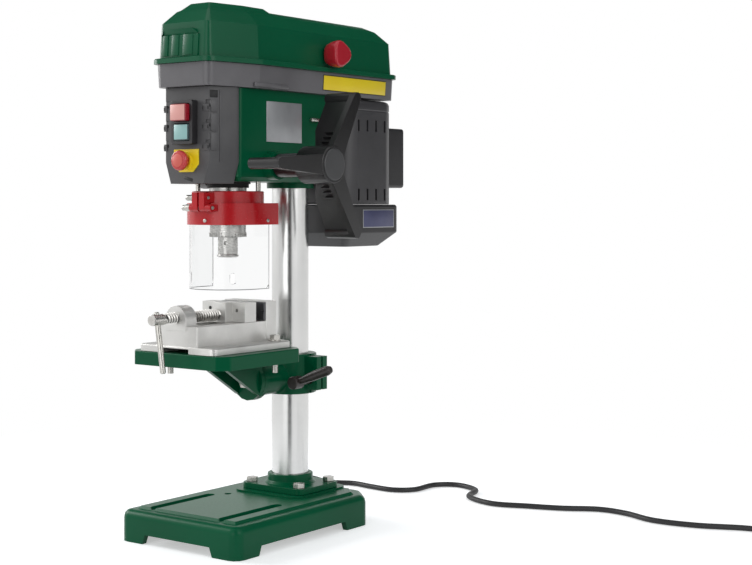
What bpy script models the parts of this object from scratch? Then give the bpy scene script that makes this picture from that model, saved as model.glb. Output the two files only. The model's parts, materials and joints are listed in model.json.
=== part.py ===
"""Benchtop drill press with a belt drive, a tilting table, a machine vise and a clear chuck guard.

Metres, +Z up, front at -Y. Pieces are drawn about the column's axis and hang on one empty, which
puts the middle of the machine's outline over the origin, on the floor.
"""

import math

import bmesh
import bpy
from mathutils import Matrix, Vector

MM = 0.001
GAP = 0.3 * MM  # clearance between pieces that touch
OVER = 5 * MM  # how far a cutter runs past what it cuts
EDGE = 1 * MM  # worn edge, and how far fused forms reach into each other
THROUGH = 400 * MM  # length of a cutter that goes right through

# Place of the column's axis in the part's frame
COLUMN_X = -26.5 * MM
COLUMN_Y = 24.5 * MM

# Levels that other pieces are measured from
HOUSING_BOTTOM = 533 * MM
HOUSING_TOP = 560 * MM
TABLE_TOP = 226.2 * MM

# Base plate
BASE_HALF = 93 * MM
BASE_FRONT = 204 * MM
BASE_REAR = 62 * MM
BASE_REAR_CUT = 27 * MM
BASE_HEIGHT = 40 * MM
BASE_WALL = 7 * MM
BASE_TOP = 8 * MM
BASE_CORNER = 13 * MM
BASE_ROUNDING = 9 * MM
BASE_BORDER = 15 * MM
BASE_STEP = 3 * MM
FOOT_WIDTH = 42 * MM
FOOT_SLANT = 6 * MM
FOOT_HEIGHT = 11 * MM
BASE_SLOT_X = 54 * MM
BASE_SLOT_FRONT = 182 * MM
BASE_SLOT_REAR = 90 * MM
BASE_SLOT_RADIUS = 6.5 * MM
BASE_HOLE_X = 40 * MM
BASE_HOLE_Y = 72 * MM
BASE_HOLE_RADIUS = 4.5 * MM
PAD_HALF = 52 * MM
PAD_HEIGHT = 2 * MM
PAD_CORNER = 14 * MM

# Column and its flange
COLUMN_RADIUS = 23 * MM
COLUMN_WALL = 2.5 * MM
COLUMN_IN_HEAD = 75 * MM
FLANGE_THICK = 7 * MM
FLANGE_COLLAR_RADIUS = 28.5 * MM
FLANGE_HEIGHT = 19 * MM
FLANGE_EAR = 11 * MM
BOLT_X = 38 * MM
BOLT_Y = 29 * MM
BOLT_RADIUS = 4 * MM
BOLT_HEX = 7.5 * MM
BOLT_HEAD = 5.5 * MM
BOLT_UNDER = 22 * MM

# Head casting
HEAD_HALF = 46 * MM
HEAD_FRONT = 147.7 * MM
HEAD_REAR = 32 * MM
HEAD_CORNER = 6 * MM
HEAD_EDGE = 5 * MM
HEAD_BOTTOM = 424 * MM
HEAD_TOP = 532.7 * MM
HEAD_COLLAR_RADIUS = 29.5 * MM
HEAD_COLLAR_DROP = 7 * MM
FEED_BOSS_RADIUS = 17 * MM
FEED_BOSS = 12 * MM
BEARING_SEAT_RADIUS = 13 * MM
BEARING_SEAT = 7.7 * MM

# Spindle, quill and chuck
SPINDLE_Y = -116 * MM
QUILL_RADIUS = 19.5 * MM
QUILL_BOTTOM = 389 * MM
SPINDLE_RADIUS = 8.5 * MM
SPINDLE_TOP = HOUSING_TOP + 47 * MM
TAPER_LENGTH = 17 * MM
TAPER_RADIUS = 7.5 * MM
NOSE_RADIUS = 22.4 * MM
NOSE_BOTTOM = 397 * MM
SEAL_RADIUS = 25 * MM
SEAL_FLANGE_RADIUS = 27 * MM
SEAL_HEIGHT = 7 * MM
SEAL_FLANGE = 2.5 * MM
CHUCK_BOTTOM = 334 * MM
CHUCK_NOSE_RADIUS = 12 * MM
CHUCK_NOSE_HEIGHT = 24 * MM
CHUCK_LIP = 2.5 * MM
CHUCK_LIP_RADIUS = 13.2 * MM
SLEEVE_RADIUS = 21.5 * MM
SLEEVE_WALL = 4 * MM
SLEEVE_HEIGHT = 27 * MM
KEY_HOLE_RADIUS = 2.4 * MM
KEY_HOLE_UP = 7 * MM
JAW_RADIUS = 2.6 * MM
JAW_LENGTH = 26 * MM
JAW_SLANT = math.radians(15)
JAW_REACH = 3.4 * MM
JAW_ROOM = 9 * MM

# Rack and pinion
MODULE = 1.5 * MM
PINION_TEETH = 12
RACK_TEETH = 16
RACK_BELOW_COUNT = 2
TOOTH_SHARE = 0.41
TOOTH_TIP_SHARE = 0.24
ADDENDUM = 1.2 * MM
DEDENDUM = 1.8 * MM
RACK_FLAT = 18 * MM
PINION_HALF = 6.5 * MM
FEED_Z = 443 * MM
FEED_SHAFT_RADIUS = 7 * MM
FEED_BEARING_RADIUS = 11.2 * MM
FEED_BEARING_START = 15 * MM
SPRING_RADIUS = 27 * MM
SPRING_DEPTH = 19 * MM
SPRING_WALL = 2.5 * MM

# Feed handle
HUB_START = 60 * MM
HUB_END = 141 * MM
HUB_RADIUS = 22 * MM
HUB_NECK_RADIUS = 14 * MM
HUB_NECK = 36 * MM
CAP_RADIUS = 19 * MM
CAP_THICK = 2.5 * MM
CAP_RECESS = 1.5 * MM
SHAFT_SQUARE = 9 * MM
SHAFT_IN_HUB = 50 * MM
ARM_COUNT = 3
ARM_REACH = 92 * MM
ARM_RIM_ROOT = 13 * MM
ARM_RIM_END = 6.5 * MM
ARM_RIM_DEPTH = 9 * MM
BLADE_HALF = 2.4 * MM
BLADE_DEPTH = 44 * MM
BLADE_ROOT_DEPTH = 30 * MM
LIP_RADIUS = 6.5 * MM
RIB_COUNT = 3
RIB_FIRST = 27 * MM
RIB_PITCH = 6.5 * MM
RIB_HALF = 7 * MM
RIB_THICK = 2 * MM
RIB_DEPTH = 26 * MM

# Belt housing, its cover and what closes it
RIM_FRONT = 201 * MM
RIM_FRONT_HALF = 45.5 * MM
RIM_SIDE_HALF = 60.5 * MM
RIM_SHOULDER = 122 * MM
RIM_REAR = 154 * MM
RIM_CORNER = 16 * MM
HOUSING_INSET = 4.5 * MM
HOUSING_DRAFT = 1.5 * MM
HOUSING_WALL = 2.5 * MM
HOUSING_FLOOR = 3 * MM
PULLEY_HOLE_RADIUS = 16 * MM
SHAFT_SLOT_RADIUS = 11 * MM
COVER_LIP = 6 * MM
COVER_INSET = 7 * MM
COVER_WALL = 2.5 * MM
COVER_WALL_TOP = HOUSING_TOP + 47 * MM
COVER_BEVEL_TOP = HOUSING_TOP + 62 * MM
COVER_TOP = HOUSING_TOP + 68 * MM
COVER_WALL_DRAFT = 2.5 * MM
COVER_BEVEL = 14 * MM
COVER_CROWN = 12 * MM
DOME_TOP = HOUSING_TOP + 72 * MM
DOME_REAR = 42 * MM
DOME_INSET = 30 * MM
DOME_BEVEL = 12 * MM
PIN_OUT = 3.6 * MM
PIN_RADIUS = 1.5 * MM
KNUCKLE_RADIUS = 3 * MM
KNUCKLE_LENGTH = 16 * MM
HINGE_Y = (-60 * MM, 90 * MM)
KNOB_Y = 8 * MM
KNOB_Z = HOUSING_TOP + 22 * MM
KNOB_RADIUS = 18 * MM
KNOB_DEPTH = 24 * MM
KNOB_STEM_RADIUS = 4 * MM
KNOB_LOBE_SHARE = 0.2
KNOB_LOBES = 3
GRIP_SHARES = ((0, 0.62), (0.12, 0.75), (0.4, 0.9), (0.8, 1.0), (0.95, 0.97), (1, 0.86))

# Pulleys and belt
STEP_COUNT = 5
STEP_HEIGHT = 11.5 * MM
STEP_CHANGE = 4.5 * MM
SPINDLE_STEP = 43 * MM
MOTOR_STEP = 22 * MM
PULLEY_BOTTOM = HOUSING_BOTTOM + 8 * MM
PULLEY_TOP = HOUSING_TOP + 44 * MM
SLEEVE_OUT = 12.7 * MM
GROOVE_DEPTH = 6 * MM
GROOVE_SHARE = 0.8
GROOVE_ROOT_SHARE = 0.42
BELT_DEPTH = 5 * MM
BELOW_BELT_COUNT = 2
BELT_POINTS = 12

# Front panel and its buttons
PANEL_FRONT = 186 * MM
PANEL_FRONT_HALF = 35 * MM
PANEL_MID = 172 * MM
PANEL_MID_HALF = 40.5 * MM
PANEL_BOTTOM = 421 * MM
PANEL_CUT = 8 * MM
PANEL_CUT_HEIGHT = 25 * MM
CLIP_Z = (513 * MM, 490 * MM, 467 * MM)
CLIP_HALF = 4 * MM
CLIP_DEPTH = 1.6 * MM
CLIP_WIDTH = 6 * MM
FRAME_HALF = 16.5 * MM
FRAME_BOTTOM = 466 * MM
FRAME_TOP = 517 * MM
FRAME_DEPTH = 9 * MM
FRAME_WALL = 4.2 * MM
BUTTON_BAR = 2.4 * MM
BUTTON_RIM = 1.4 * MM
WELL_DEPTH = 7 * MM
STOP_OUT = 7 * MM
START_OUT = 1.5 * MM
BUTTON_TRAVEL = 2.5 * MM
BUTTON_CORNER = 1.5 * MM
ESTOP_Z = 447.5 * MM
PLATE_HALF = 19.5 * MM
PLATE_HALF_HEIGHT = 13.2 * MM
PLATE_CUT = 9 * MM
PLATE_THICK = 1.5 * MM
COLLAR_RADIUS = 10 * MM
COLLAR_OUT = 3 * MM
ESTOP_RADIUS = 12 * MM
ESTOP_HEAD = 7 * MM
ESTOP_STEM_RADIUS = 7.2 * MM
ESTOP_STEM = 9 * MM
ESTOP_TRAVEL = 4 * MM

# Motor
MOTOR_Y = 101.5 * MM
BELL_HALF = 56 * MM
BELL_BOTTOM = 342.5 * MM
BELL_TOP = 396.5 * MM
BELL_CUT = 18 * MM
BELL_CORNER = 9 * MM
CAN_HALF = 52.5 * MM
CAN_CORNER = 22 * MM
CAN_TOP = 531 * MM
CAN_SEAM = 517.4 * MM
CAN_GROOVE = 1 * MM
CAN_ROUNDING = 5 * MM
VENT_X = 18.6 * MM
VENT_COUNT = 4
VENT_HALF = 1.8 * MM
VENT_LENGTH = 15 * MM
VENT_DEPTH = 4 * MM
VENT_Z = (498 * MM, 409.5 * MM)
CAPACITOR_HALF = 38 * MM
CAPACITOR_DEPTH = 40 * MM
CAPACITOR_BOTTOM = 418.7 * MM
CAPACITOR_TOP = 498 * MM
CAPACITOR_EDGE = 4 * MM
PLATE_GAP = 10.7 * MM
MOUNT_THICK = 3.6 * MM
MOUNT_HALF = 44 * MM
MOUNT_BOTTOM = 400 * MM
MOUNT_TOP = 520 * MM
MOUNT_CORNER = 6 * MM
ROD_X = 34 * MM
ROD_Z = 500 * MM
ROD_RADIUS = 6 * MM
ROD_LENGTH = 50 * MM
MOTOR_SLIDE = 10 * MM
MOTOR_SHAFT_RADIUS = 7 * MM
MOTOR_SHAFT_IN = 15 * MM
TENSION_Y = 18 * MM
TENSION_RADIUS = 12 * MM
TENSION_DEPTH = 20 * MM
TENSION_STEM_RADIUS = 3 * MM

# Table and its bracket
BRACKET_BOTTOM = TABLE_TOP - 64.2 * MM
BRACKET_TOP = TABLE_TOP - 15.2 * MM
BRACKET_RADIUS = 33 * MM
ARM_RADIUS = 20 * MM
TILT_Z = TABLE_TOP - 43.2 * MM
DISC_Y = 75 * MM
DISC_RADIUS = 24 * MM
DISC_THICK = 6 * MM
EAR_START = 27 * MM
EAR_END = 51 * MM
EAR_HALF = 10 * MM
EAR_BOTTOM = TABLE_TOP - 58.2 * MM
SLIT_HALF = 1.5 * MM
LEVER_X = 40 * MM
LEVER_Z = TABLE_TOP - 46.7 * MM
LEVER_STUD_RADIUS = 4 * MM
LEVER_FRONT = 30 * MM
LEVER_HUB_RADIUS = 8 * MM
LEVER_HUB = 15 * MM
LEVER_ARM = 58 * MM
LEVER_RISE = math.radians(20)
LEVER_GRIP_RADIUS = 6 * MM
LEVER_NECK_RADIUS = 4.2 * MM
TABLE_THICK = 16 * MM
TABLE_HALF = 76 * MM
TABLE_FRONT = 208 * MM
TABLE_REAR = 62 * MM
TABLE_CUT = 13 * MM
TABLE_WALL = 5 * MM
TABLE_PLATE = 6 * MM
TABLE_HOLE_RADIUS = 12 * MM
TABLE_SLOT_X = 47 * MM
TABLE_SLOT_RADIUS = 4.5 * MM
TABLE_SLOT_HALF = 50 * MM
TABLE_MID = 125 * MM
RIB_FRONT = 150 * MM
RIB_X = 16 * MM
RIB_HALF_THICK = 3 * MM
TILT_BOLT_RADIUS = 5 * MM
TILT_HEX = 9 * MM
TILT_HEAD = 7 * MM

# Machine vise
VISE_FRONT = 206 * MM
VISE_REAR = 68 * MM
FLANGE_HALF = 60 * MM
VISE_FLANGE = 8 * MM
VISE_CORNER = 8 * MM
VISE_HALF = 33 * MM
VISE_BODY_FRONT = 204 * MM
VISE_BODY_REAR = 66 * MM
VISE_TOP = TABLE_TOP + 31.3 * MM
ARCH_HALF = 21 * MM
ARCH_HEIGHT = 5.5 * MM
WAY_HALF = 13 * MM
WAY_DEPTH = 12 * MM
JAW_TOP = TABLE_TOP + 54.8 * MM
FIXED_JAW = 20 * MM
JAW_PLATE = 4 * MM
JAW_PLATE_GROOVE = 1.2 * MM
BOSS_HALF = 16 * MM
BOSS_DEPTH = 18 * MM
MOVING_BACK = 104 * MM
MOVING_WING = 20 * MM
MOVING_FRONT = 12 * MM
MOVING_BOSS_HALF = 14 * MM
SCREW_Z = TABLE_TOP + 40.3 * MM
SCREW_RADIUS = 5 * MM
SCREW_IN_JAW = 8 * MM
SCREW_OUT = 20 * MM
SCREW_HEAD = 19 * MM
SCREW_HEAD_RADIUS = 6.5 * MM
TOMMY_RADIUS = 3.3 * MM
TOMMY_LENGTH = 70 * MM
TOMMY_ABOVE = 9 * MM
TOMMY_LEAN = math.radians(9)
JAW_HOLE_RADIUS = 2.2 * MM
JAW_HOLE_X = 21 * MM
JAW_HOLE_DEPTH = 6 * MM
HOLD_X = 47 * MM
HOLD_REAR = 85 * MM
HOLD_FRONT = 165 * MM
HOLD_HEX = 6.5 * MM
HOLD_HEAD = 5.3 * MM
HOLD_WASHER_RADIUS = 8 * MM
HOLD_WASHER = 1.5 * MM
HOLD_RADIUS = 3.6 * MM
HOLD_UNDER = 14 * MM

# Chuck guard
COLLAR_BOTTOM = 397.2 * MM
COLLAR_TOP = 412.6 * MM
COLLAR_OUT_RADIUS = 43 * MM
COLLAR_SPLIT = 3 * MM
BLOCK_LEFT = -4 * MM
BLOCK_RIGHT = 15 * MM
BLOCK_DEPTH = 9.5 * MM
BLOCK_DROP = 2 * MM
CLAMP_BOLT_RADIUS = 2 * MM
CLAMP_BOLT_HEAD_RADIUS = 4 * MM
CLAMP_BOLT_HEAD = 7 * MM
GUIDE_X = 36 * MM
GUIDE_Y = 13.5 * MM
GUIDE_RADIUS = 3 * MM
GUIDE_INTO_HEAD = 8 * MM
GUIDE_IN_COLLAR = 9 * MM
BAND_RADIUS = 48.5 * MM
BAND_WALL = 2.5 * MM
BAND_TOP = 398.5 * MM
BAND_BOTTOM = 373 * MM
LEG_BACK = 36 * MM
SHIELD_WALL = 1.5 * MM
SHIELD_TOP = 392 * MM
SHIELD_BOTTOM = 297 * MM
SHIELD_LEG_BACK = 22 * MM
SHIELD_CORNER = 8 * MM
SHIELD_SLOT_X = 34 * MM
SHIELD_SLOT_RADIUS = 2 * MM
SHIELD_SLOT = (306 * MM, 315 * MM)
KNUCKLE_GAP = 0.5 * MM
GUARD_KNUCKLE_RADIUS = 4.5 * MM
GUARD_PIVOT_DROP = 5.5 * MM
LEFT_LUG = 5 * MM
RIGHT_LUG = 9 * MM
PIVOT_RADIUS = 2.2 * MM
PIVOT_HEAD_RADIUS = 4.2 * MM
PIVOT_HEAD = 7 * MM

# Mains lead
CORD_RADIUS = 3.5 * MM
GLAND_X = -35 * MM
GLAND_Y = 20 * MM
GLAND_RADIUS = 7.5 * MM
GLAND_TIP_RADIUS = 5.2 * MM
GLAND_LENGTH = 26 * MM
GLAND_NUT = 6 * MM
GLAND_SEAT_RADIUS = 6 * MM
GLAND_SEAT = 5 * MM
CORD_POINTS = 80
ROUTE_SHARES = 12
PLUG_LENGTH = 36 * MM
PLUG_RADIUS = 15 * MM
PLUG_NECK_RADIUS = 6 * MM
PLUG_NECK = 22 * MM
PLUG_PIN_RADIUS = 2.4 * MM
PLUG_PIN_LENGTH = 19 * MM
PLUG_PIN_OUT = 9.5 * MM
PLUG_WAIST_RADIUS = 12 * MM

# The lead's route from the column's axis, after its gland: down behind the column, then along the
# floor, with its last point at the plug
CORD_ROUTE = [
    (-0.0350, 0.0200, 0.3650),
    (-0.0375, 0.0240, 0.3100),
    (-0.0430, 0.0325, 0.2400),
    (-0.0510, 0.0450, 0.1700),
    (-0.0610, 0.0610, 0.1050),
    (-0.0750, 0.0830, 0.0520),
    (-0.0920, 0.1100, 0.0180),
    (-0.1130, 0.1430, 0.0050),
    (-0.1657, 0.1518, 0.0036),
    (-0.1817, 0.1949, 0.0036),
    (-0.1506, 0.2233, 0.0036),
    (-0.1072, 0.2130, 0.0036),
    (-0.0741, 0.2263, 0.0036),
    (-0.0382, 0.2222, 0.0036),
    (-0.0004, 0.2211, 0.0036),
    (0.0227, 0.2413, 0.0036),
    (0.0257, 0.2841, 0.0036),
    (0.0531, 0.3033, 0.0036),
    (0.0931, 0.2864, 0.0036),
    (0.1093, 0.2443, 0.0036),
    (0.1577, 0.2233, 0.0036),
    (0.2050, 0.2370, 0.0036),
    (0.2480, 0.2520, 0.0036),
    (0.2890, 0.2740, 0.0036),
    (0.3290, 0.2720, 0.0036),
    (0.3750, 0.2550, 0.0036),
    (0.4300, 0.2600, 0.0036),
    (0.4900, 0.2820, 0.0036),
    (0.5450, 0.2800, 0.0036),
    (0.5850, 0.2480, 0.0036),
    (0.6020, 0.2000, 0.0036),
    (0.6080, 0.1500, 0.0036),
    (0.6150, 0.1150, 0.0070),
    (0.6240, 0.0800, 0.0130),
    (0.6330, 0.0500, 0.0150),
    (0.6390, 0.0300, 0.0150),
]

# Places that follow from the sizes above
PINION_RADIUS = MODULE * PINION_TEETH / 2
PINION_Y = SPINDLE_Y + RACK_FLAT - ADDENDUM + PINION_RADIUS
CHUCK_TOP = CHUCK_BOTTOM + CHUCK_NOSE_HEIGHT + SLEEVE_HEIGHT
NOSE_IN_HEAD = FEED_Z - FEED_BEARING_RADIUS - HEAD_BOTTOM - 2 * EDGE
PIN_X = -RIM_SIDE_HALF - PIN_OUT
GUARD_PIVOT_Y = SPINDLE_Y - BAND_RADIUS - KNUCKLE_GAP - GUARD_KNUCKLE_RADIUS
GUARD_PIVOT_Z = BAND_TOP - GUARD_PIVOT_DROP


def finish(name, colour, roughness, metallic=0.0):
    """One piece's own material."""
    material = bpy.data.materials.new(name)
    material.use_nodes = True
    shader = material.node_tree.nodes["Principled BSDF"]
    shader.inputs["Base Color"].default_value = (*colour, 1)
    shader.inputs["Roughness"].default_value = roughness
    shader.inputs["Metallic"].default_value = metallic
    material.diffuse_color = (*colour, 1)
    return material


GREEN = ((0.0, 0.07, 0.035), 0.3, 0.0)
GREY = ((0.10, 0.10, 0.105), 0.5, 0.0)
DARK = ((0.03, 0.03, 0.033), 0.5, 0.0)
RED = ((0.5, 0.01, 0.02), 0.35, 0.0)
STEEL = ((0.62, 0.62, 0.62), 0.25, 1.0)
CAST_METAL = ((0.5, 0.5, 0.5), 0.5, 1.0)
YELLOW = ((0.85, 0.72, 0.02), 0.4, 0.0)
PALE_RED = ((0.8, 0.25, 0.2), 0.4, 0.0)
PALE_GREEN = ((0.4, 0.65, 0.6), 0.4, 0.0)
CLEAR = ((0.8, 0.86, 0.87), 0.1, 0.0)
BLACK = ((0.012, 0.012, 0.012), 0.55, 0.0)


def clear_scene():
    for obj in list(bpy.data.objects):
        bpy.data.objects.remove(obj)


def piece(name, shape, look, pivot=(0, 0, 0), sharp=math.radians(35)):
    """A named object from a shape drawn about the column's axis, with its origin at its pivot."""
    shape.transform(Matrix.Translation(-Vector(pivot)))
    bmesh.ops.recalc_face_normals(shape, faces=shape.faces)
    mesh = bpy.data.meshes.new(name)
    shape.to_mesh(mesh)
    shape.free()
    mesh.shade_smooth()
    mesh.set_sharp_from_angle(angle=sharp)
    obj = bpy.data.objects.new(name, mesh)
    bpy.context.scene.collection.objects.link(obj)
    obj.location = pivot
    obj.parent = MACHINE
    obj.data.materials.append(finish(name, *look))
    return obj


def helper(name, shape):
    """A cutter or an added form, which takes part in Booleans and isn't a piece."""
    obj = piece(name, shape, DARK)
    obj.hide_render = True
    obj.display_type = "WIRE"
    return obj


def combine(target, shapes, operation):
    for number, shape in enumerate(shapes):
        tool = helper(f"{target.name}_{operation.lower()}_{number}", shape)
        modifier = target.modifiers.new(tool.name, "BOOLEAN")
        modifier.operation = operation
        modifier.object = tool
        modifier.solver = "EXACT"


def cut(target, *shapes):
    combine(target, shapes, "DIFFERENCE")


def add(target, *shapes):
    combine(target, shapes, "UNION")


def offset(corners, distance):
    """A closed outline, counter-clockwise, with every side moved in by one distance."""
    moved = []
    count = len(corners)
    for i in range(count):
        before, here, after = (Vector(corners[(i + k) % count]) for k in (-1, 0, 1))
        first = (here - before).normalized()
        second = (after - here).normalized()
        normal_a = Vector((-first.y, first.x))
        normal_b = Vector((-second.y, second.x))
        bisector = normal_a + normal_b
        moved.append(here + bisector * (distance * 2 / bisector.length_squared))
    return moved


def rounded(corners, radius, steps=3):
    """A closed outline with each corner turned into an arc of the radius."""
    points = []
    count = len(corners)
    for i in range(count):
        before, here, after = (Vector(corners[(i + k) % count]) for k in (-1, 0, 1))
        back = (before - here).normalized()
        on = (after - here).normalized()
        half = back.angle(on) / 2
        centre = here + (back + on).normalized() * (radius / math.sin(half))
        start = here + back * (radius / math.tan(half)) - centre
        end = here + on * (radius / math.tan(half)) - centre
        sweep = start.angle_signed(end)
        for k in range(steps + 1):
            turn = -sweep * k / steps
            points.append(
                centre
                + Vector(
                    (
                        start.x * math.cos(turn) - start.y * math.sin(turn),
                        start.x * math.sin(turn) + start.y * math.cos(turn),
                    )
                )
            )
    return points


def rectangle(left, right, front, rear):
    return [(left, front), (right, front), (right, rear), (left, rear)]


def loft(rings):
    """A closed solid through rings of as many points each, capped at both ends."""
    shape = bmesh.new()
    rows = [[shape.verts.new(point) for point in ring] for ring in rings]
    for lower, upper in zip(rows, rows[1:]):
        for k in range(len(lower)):
            after = (k + 1) % len(lower)
            shape.faces.new((lower[k], lower[after], upper[after], upper[k]))
    shape.faces.new(reversed(rows[0]))
    shape.faces.new(rows[-1])
    return shape


def prism(outline, bottom, top):
    return loft([[(*point, z) for point in outline] for z in (bottom, top)])


def block(left, right, front, rear, bottom, top):
    return prism(rectangle(left, right, front, rear), bottom, top)


def turned(profile, centre, axis="Z", steps=24, phase=0.0):
    """A closed solid turned about an axis through the centre: the profile is (radius, height)."""
    shape = bmesh.new()
    rows = []
    for radius, height in profile:
        if radius == 0:
            rows.append([shape.verts.new((0, 0, height))])
            continue
        rows.append(
            [
                shape.verts.new((radius * math.cos(angle), radius * math.sin(angle), height))
                for angle in (2 * math.pi * k / steps + phase for k in range(steps))
            ]
        )
    for lower, upper in zip(rows, rows[1:]):
        for k in range(steps):
            after = (k + 1) % steps
            corners = [lower[k % len(lower)], lower[after % len(lower)]]
            corners += [upper[after % len(upper)], upper[k % len(upper)]]
            shape.faces.new(dict.fromkeys(corners))
    if len(rows[0]) > 1:
        shape.faces.new(reversed(rows[0]))
    if len(rows[-1]) > 1:
        shape.faces.new(rows[-1])
    if axis == "X":
        shape.transform(Matrix.Rotation(math.pi / 2, 4, "Y"))
    if axis == "Y":
        shape.transform(Matrix.Rotation(-math.pi / 2, 4, "X"))
    shape.transform(Matrix.Translation(centre))
    return shape


def rod(radius, start, end, centre, axis="Z", steps=16, phase=0.0):
    return turned([(radius, start), (radius, end)], centre, axis, steps, phase)


def tube(outer, inner, bottom, top, centre, axis="Z", steps=24):
    """A ring or pipe, closed all round."""
    shape = bmesh.new()
    rows = []
    for radius, height in ((outer, bottom), (outer, top), (inner, top), (inner, bottom)):
        rows.append(
            [
                shape.verts.new((radius * math.cos(angle), radius * math.sin(angle), height))
                for angle in (2 * math.pi * k / steps for k in range(steps))
            ]
        )
    for lower, upper in zip(rows, rows[1:] + rows[:1]):
        for k in range(steps):
            after = (k + 1) % steps
            shape.faces.new((lower[k], lower[after], upper[after], upper[k]))
    if axis == "X":
        shape.transform(Matrix.Rotation(math.pi / 2, 4, "Y"))
    if axis == "Y":
        shape.transform(Matrix.Rotation(-math.pi / 2, 4, "X"))
    shape.transform(Matrix.Translation(centre))
    return shape


def upright(outline, front, rear):
    """A solid whose (x, z) outline runs from front to rear."""
    return loft([[(x, y, z) for x, z in outline] for y in (front, rear)])


def sideways(outline, left, right):
    """A solid whose (y, z) outline runs from left to right."""
    return loft([[(x, y, z) for y, z in outline] for x in (left, right)])


def stadium(x, start, end, radius, steps=6):
    """A slot's outline along Y, from the centre of one round end to the other's."""
    points = []
    for k in range(steps + 1):
        angle = math.pi * k / steps
        points.append((x + radius * math.cos(angle), end + radius * math.sin(angle)))
    for k in range(steps + 1):
        angle = math.pi + math.pi * k / steps
        points.append((x + radius * math.cos(angle), start + radius * math.sin(angle)))
    return points


def hexagon(radius, start, end, centre, axis="Z"):
    return rod(radius, start, end, centre, axis, steps=6)


def make_base():
    corners = [
        (-BASE_HALF, -BASE_FRONT),
        (BASE_HALF, -BASE_FRONT),
        (BASE_HALF, BASE_REAR - BASE_REAR_CUT),
        (BASE_HALF - BASE_REAR_CUT, BASE_REAR),
        (-BASE_HALF + BASE_REAR_CUT, BASE_REAR),
        (-BASE_HALF, BASE_REAR - BASE_REAR_CUT),
    ]

    def level(inset, z):
        radius = max(BASE_CORNER - inset, EDGE)
        return [(*point, z) for point in rounded(offset(corners, inset), radius)]

    edge = BASE_HEIGHT - BASE_STEP - BASE_ROUNDING
    rings = [level(0, 0)]
    for k in range(4):
        turn = math.pi / 2 * k / 3
        inset = BASE_ROUNDING * (1 - math.cos(turn))
        rings.append(level(inset, edge + BASE_ROUNDING * math.sin(turn)))
    rings.append(level(BASE_BORDER, BASE_HEIGHT - BASE_STEP))
    rings.append(level(BASE_BORDER + BASE_STEP, BASE_HEIGHT))
    base = piece("base", loft(rings), GREEN)
    pad = rounded(rectangle(-PAD_HALF, PAD_HALF, -PAD_HALF, PAD_HALF), PAD_CORNER)
    add(base, prism(pad, BASE_HEIGHT - BASE_TOP / 2, BASE_HEIGHT + PAD_HEIGHT))
    hollow = rounded(offset(corners, BASE_WALL), BASE_CORNER - BASE_WALL, 2)
    cut(base, prism(hollow, -OVER, BASE_HEIGHT - BASE_TOP))
    front_notch = BASE_HALF - FOOT_WIDTH
    notch = [
        (-front_notch - FOOT_SLANT, -OVER),
        (front_notch + FOOT_SLANT, -OVER),
        (front_notch, FOOT_HEIGHT),
        (-front_notch, FOOT_HEIGHT),
    ]
    cut(base, upright(notch, -BASE_FRONT - OVER, BASE_REAR + OVER))
    side_front = -BASE_FRONT + FOOT_WIDTH
    side_rear = BASE_REAR - BASE_REAR_CUT - FOOT_WIDTH
    notch = [
        (side_front - FOOT_SLANT, -OVER),
        (side_rear + FOOT_SLANT, -OVER),
        (side_rear, FOOT_HEIGHT),
        (side_front, FOOT_HEIGHT),
    ]
    cut(base, sideways(notch, -BASE_HALF - OVER, BASE_HALF + OVER))
    above = BASE_HEIGHT + OVER
    for side in (-1, 1):
        slot = stadium(side * BASE_SLOT_X, -BASE_SLOT_FRONT, -BASE_SLOT_REAR, BASE_SLOT_RADIUS)
        cut(base, prism(slot, 0, above))
    cut(base, rod(BASE_HOLE_RADIUS, 0, above, (-BASE_HOLE_X, -BASE_HOLE_Y, 0)))
    for x in (-BOLT_X, BOLT_X):
        for y in (-BOLT_Y, BOLT_Y):
            cut(base, rod(BOLT_RADIUS + GAP, 0, above, (x, y, 0)))


def make_flange():
    bottom = BASE_HEIGHT + PAD_HEIGHT + GAP
    corners = rectangle(-BOLT_X, BOLT_X, -BOLT_Y, BOLT_Y)
    outline = rounded(offset(corners, -FLANGE_EAR), FLANGE_EAR, 4)
    flange = piece("column_flange", prism(outline, bottom, bottom + FLANGE_THICK), GREEN)
    collar = [
        (FLANGE_COLLAR_RADIUS + FLANGE_THICK / 2, FLANGE_THICK / 2),
        (FLANGE_COLLAR_RADIUS + FLANGE_THICK / 2, FLANGE_THICK),
        (FLANGE_COLLAR_RADIUS, FLANGE_THICK + FLANGE_THICK / 2),
        (FLANGE_COLLAR_RADIUS, FLANGE_HEIGHT - EDGE),
        (FLANGE_COLLAR_RADIUS - EDGE, FLANGE_HEIGHT),
    ]
    add(flange, turned(collar, (0, 0, bottom), steps=24))
    cut(flange, rod(COLUMN_RADIUS + GAP, bottom - OVER, HEAD_BOTTOM, (0, 0, 0), steps=24))
    number = 0
    for x in (-BOLT_X, BOLT_X):
        for y in (-BOLT_Y, BOLT_Y):
            number += 1
            cut(flange, rod(BOLT_RADIUS + GAP, 0, HEAD_BOTTOM, (x, y, 0)))
            seat = bottom + FLANGE_THICK + GAP
            shape = hexagon(BOLT_HEX, seat, seat + BOLT_HEAD, (x, y, 0))
            bolt = piece(f"flange_bolt_{number}", shape, STEEL)
            add(bolt, rod(BOLT_RADIUS, seat - BOLT_UNDER, seat + BOLT_HEAD / 2, (x, y, 0)))


def make_column():
    bottom = BASE_HEIGHT + PAD_HEIGHT + GAP
    top = HEAD_BOTTOM + COLUMN_IN_HEAD
    inner = COLUMN_RADIUS - COLUMN_WALL
    piece("column", tube(COLUMN_RADIUS, inner, bottom, top, (0, 0, 0), steps=24), STEEL)


def head_outline(inset=0.0):
    corners = rectangle(-HEAD_HALF, HEAD_HALF, -HEAD_FRONT, HEAD_REAR)
    return rounded(offset(corners, inset), HEAD_CORNER - inset, 3)


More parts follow.
